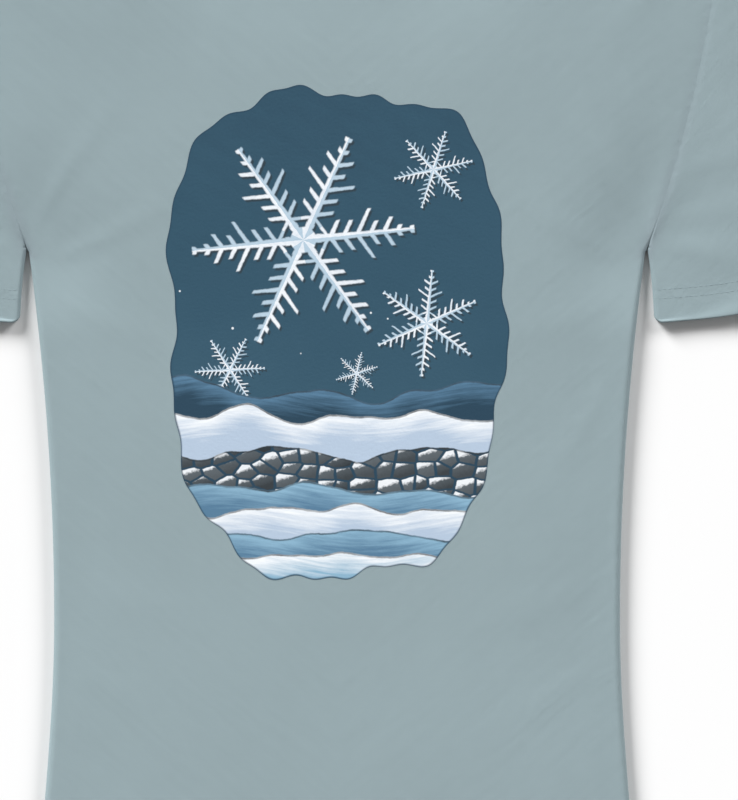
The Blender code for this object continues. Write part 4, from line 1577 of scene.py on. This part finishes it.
JERSEY_COLOUR = (0.2735, 0.351, 0.374)
THREAD_COLOUR = (0.300, 0.385, 0.412)


def seam_shade(plan, height):
    """Painted shade beside the armhole seam: a bell across it, wider and darker at the underarm.

    Its width and strength fall from there as e^(-y / reach). The underside has none.
    """
    y = np.maximum(plan[..., 1], 0)
    wide = SHADE_WIDTH + SHADE_MORE_WIDTH * np.exp(-y / SHADE_WIDTH_REACH)
    strength = SHADE + SHADE_MORE * np.exp(-y / SHADE_REACH)
    bell = np.exp(-((distance(plan, ARMHOLE_LINE) / wide) ** 2))
    return bell * strength * (plan[..., 1] > SHADE_LOWEST_Y) * (height > SHADE_LEAST_Z)


def pucker(plan, lines, up, width):
    """How strongly the cloth puckers: the most of e^(-distance / reach) beside a seam's line, and of
    a bell over the length up from a hem's edge.
    """
    by_seams = [np.exp(-distance(plan, line) / PUCKER_REACH) for line in lines]
    by_hem_rows = HEM_PUCKER * np.exp(-(((up - HEM_PUCKER_DEPTH) / width) ** 2))
    return np.maximum.reduce([*by_seams, by_hem_rows])


def make_body(jersey):
    """The two body panels, with their hems, as sheets."""
    front = body_panel(front_height, True, front_side_z, front_flap_z, 0, 1)
    back = body_panel(back_height, False, back_side_z, back_flap_z, BACK_INSET, -1)
    pieces = {}
    for name, grid, lift, node in (
        ("shirt_front", front, 1, "front_panel"),
        ("shirt_back", back, -1, "back_panel"),
    ):
        normals = normals_of(grid) * lift
        along_top = normals[-1:].repeat(len(TOP_TURNS), 0)
        hemmed = with_hem(with_top_curl(grid, lift), np.concatenate([normals, along_top]))
        filled = np.where(np.isnan(hemmed), 0, hemmed)
        plan = np.stack([np.abs(filled[..., 0]), filled[..., 1]], axis=-1)
        # The seam mark is painted shade beside the armhole seam.
        marks = {
            "pucker": pucker(plan, (ARMHOLE_LINE, NECK_LINE), plan[..., 1] - HEM_Y, BODY_PUCKER_WIDTH),
            "seam": seam_shade(plan, filled[..., 2]),
        }
        faces = quads_of(hemmed.shape)[:, ::lift]
        piece = make_piece(name, hemmed, faces, jersey, straight_grain(filled), marks)
        thicken(piece, CLOTH)
        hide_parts(node)
        pieces[name] = (piece, grid, normals)
    return pieces


def make_sleeves(jersey):
    """Both sleeves as closed tubes with turned-in hems."""
    made = []
    for name, side, seed in (("sleeve_right", 1, 5), ("sleeve_left", -1, 8)):
        ring, drawn_in = sleeve_tube(seed)
        normals = normals_of(ring, wrap=True)
        hemmed = with_hem(ring, normals)
        plan = hemmed[..., :2]
        from_edge = distance(plan, SLEEVE_HEM_LINE)
        # The seam mark is painted shade beside the armhole seam.
        marks = {
            "pucker": pucker(plan, (ARMHOLE_LINE,), from_edge, SLEEVE_PUCKER_WIDTH),
            "seam": seam_shade(plan, hemmed[..., 2]),
        }
        mirror = np.array([side, 1, 1])
        faces = quads_of(hemmed.shape, wrap_columns=True)[:, ::side]
        grain = sleeve_grain(hemmed)
        piece = make_piece(name + "_cloth", hemmed * mirror, faces, jersey, grain, marks)
        thicken(piece, CLOTH)
        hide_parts(name)
        made.append((name, piece, ring * mirror, normals * mirror, drawn_in))
    return made


def sew(body, sleeves, thread):
    """The twin rows of stitches round the hems, and those beside the neck and shoulder seams."""
    for piece, grid, normals in body.values():
        grid, normals = grid[: len(LOWER_ROWS)], normals[: len(LOWER_ROWS)]
        drawn_in = corner_rise(body_half(HEM_Y) - np.abs(grid[0, :, 0]))
        hem_stitches(piece.name, grid, normals, drawn_in, thread, False)
    for name, piece, ring, normals, drawn_in in sleeves:
        hem_stitches(name, ring, normals, drawn_in, thread, True)

    turn = np.linspace(NECK_ROW_START, math.pi - NECK_ROW_START, NECK_ROW_POINTS)
    line = neck(turn, True)
    runs = [stitch_run(*on_front(line + away * square_to(line, 1))) for away in NECK_ROWS]
    share = np.linspace(*SHOULDER_ROW_SHARES, SHOULDER_ROW_POINTS)[:, None]
    line = NECK_POINT * (1 - share) + TIP * share
    below = line - SHOULDER_ROW * square_to(line, 1)
    for side in (1, -1):
        runs.append(stitch_run(*on_front(below * np.array([side, 1]))))
    make_stitches("neck_and_shoulder_stitches", runs, thread)


def make_collar(rib, tape, thread):
    """The ribbed band, and the tape with its stitches inside the back of the neck."""
    grid, flat, girth = collar_grid()
    faces = quads_of(grid.shape, wrap_columns=True, wrap_rows=True)
    band = make_piece("collar_band", grid, faces, rib, flat, girth=girth)
    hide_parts("collar")
    strip = tape_grid()
    faces = quads_of(strip.shape)
    strip_piece = make_piece("neck_tape_cloth", strip, faces, tape, flat_of(strip))
    thicken(strip_piece, TAPE_THICK)
    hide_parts("neck_tape")
    up = np.broadcast_to(np.array([0.0, 0.0, 1.0]), strip[0].shape)
    runs = [stitch_run(strip[row] + up * TAPE_STITCH_Z, up) for row in (1, TAPE_LINES - 2)]
    make_stitches("neck_tape_stitches", runs, thread)
    return band, strip_piece


def make_print(ink):
    """The ink film on the chest."""
    grid, flat, rim = print_grid()
    faces = quads_of(grid.shape, wrap_columns=True)[:, ::-1]
    make_piece("print_film", grid, faces, ink, flat, {"rim": rim})


jersey = cloth_material("jersey", JERSEY_COLOUR)
rib = rib_material(JERSEY_COLOUR)
tape = cloth_material("tape_jersey", tinted(JERSEY_COLOUR, 1.05), sewn=False)
thread = thread_material(THREAD_COLOUR)
ink = print_material()

body = make_body(jersey)
sleeves = make_sleeves(jersey)
sew(body, sleeves, thread)
band, tape_piece = make_collar(rib, tape, thread)
make_print(ink)


# ------------------------------------------------------------------ floor, light and camera


WORLD_STRENGTH = 0.254
LIGHTS = (
    # name, azimuth from +X towards +Y, elevation and spread in degrees, and power
    ("key", 130, 25, 24, 4.62),
    ("fill", 45, 26, 24, 1.98),
)
FLOOR_REACH = 6.0
FLOOR_FACE = {"Base Color": (0.86, 0.86, 0.86, 1), "Roughness": 0.9, "Specular IOR Level": 0.1}
CAMERA_HEIGHT = 2.4
SHIRT_TOP = 0.008
CAMERA_PLACE = (0.0192, UNDERARM_Y - 0.087, CAMERA_HEIGHT + SHIRT_TOP)
FRAMED_LENGTH = 0.480


def make_floor():
    """A wide plain floor just under the shirt."""
    mesh = bpy.data.meshes.new("floor")
    low, high = -FLOOR_REACH, FLOOR_REACH
    corners = [(low, low, 0), (high, low, 0), (high, high, 0), (low, high, 0)]
    mesh.from_pydata(corners, [], [(0, 1, 2, 3)])
    material, _, shader = new_material("floor_white")
    feed(shader, FLOOR_FACE)
    mesh.materials.append(material)
    floor = bpy.data.objects.new("floor", mesh)
    bpy.context.scene.collection.objects.link(floor)


def soft_light(name, azimuth, elevation, spread, power):
    """A far, broad light that shines from an azimuth and an elevation."""
    data = bpy.data.lights.new(name, "SUN")
    data.angle, data.energy = math.radians(spread), power
    light = bpy.data.objects.new(name, data)
    turn, rise = math.radians(azimuth), math.radians(elevation)
    flat = math.cos(rise)
    source = Vector((math.cos(turn) * flat, math.sin(turn) * flat, math.sin(rise)))
    light.rotation_euler = source.to_track_quat("Z", "Y").to_euler()
    bpy.context.scene.collection.objects.link(light)


def make_studio():
    """An even white surround, a broad key from the upper left, a fill, and the camera above."""
    scene = bpy.context.scene
    world = bpy.data.worlds.new("studio")
    world.use_nodes = True
    feed(world.node_tree.nodes["Background"], {"Color": (1, 1, 1, 1), "Strength": WORLD_STRENGTH})
    scene.world = world
    scene.view_settings.view_transform = "Standard"
    for light in LIGHTS:
        soft_light(*light)
    data = bpy.data.cameras.new("camera")
    camera = bpy.data.objects.new("camera", data)
    scene.collection.objects.link(camera)
    scene.camera = camera
    data.sensor_width = 36
    data.lens = data.sensor_width * CAMERA_HEIGHT / FRAMED_LENGTH
    camera.location = CAMERA_PLACE
    camera.rotation_euler = (0, 0, 0)
    data.clip_end = 50


make_floor()
make_studio()
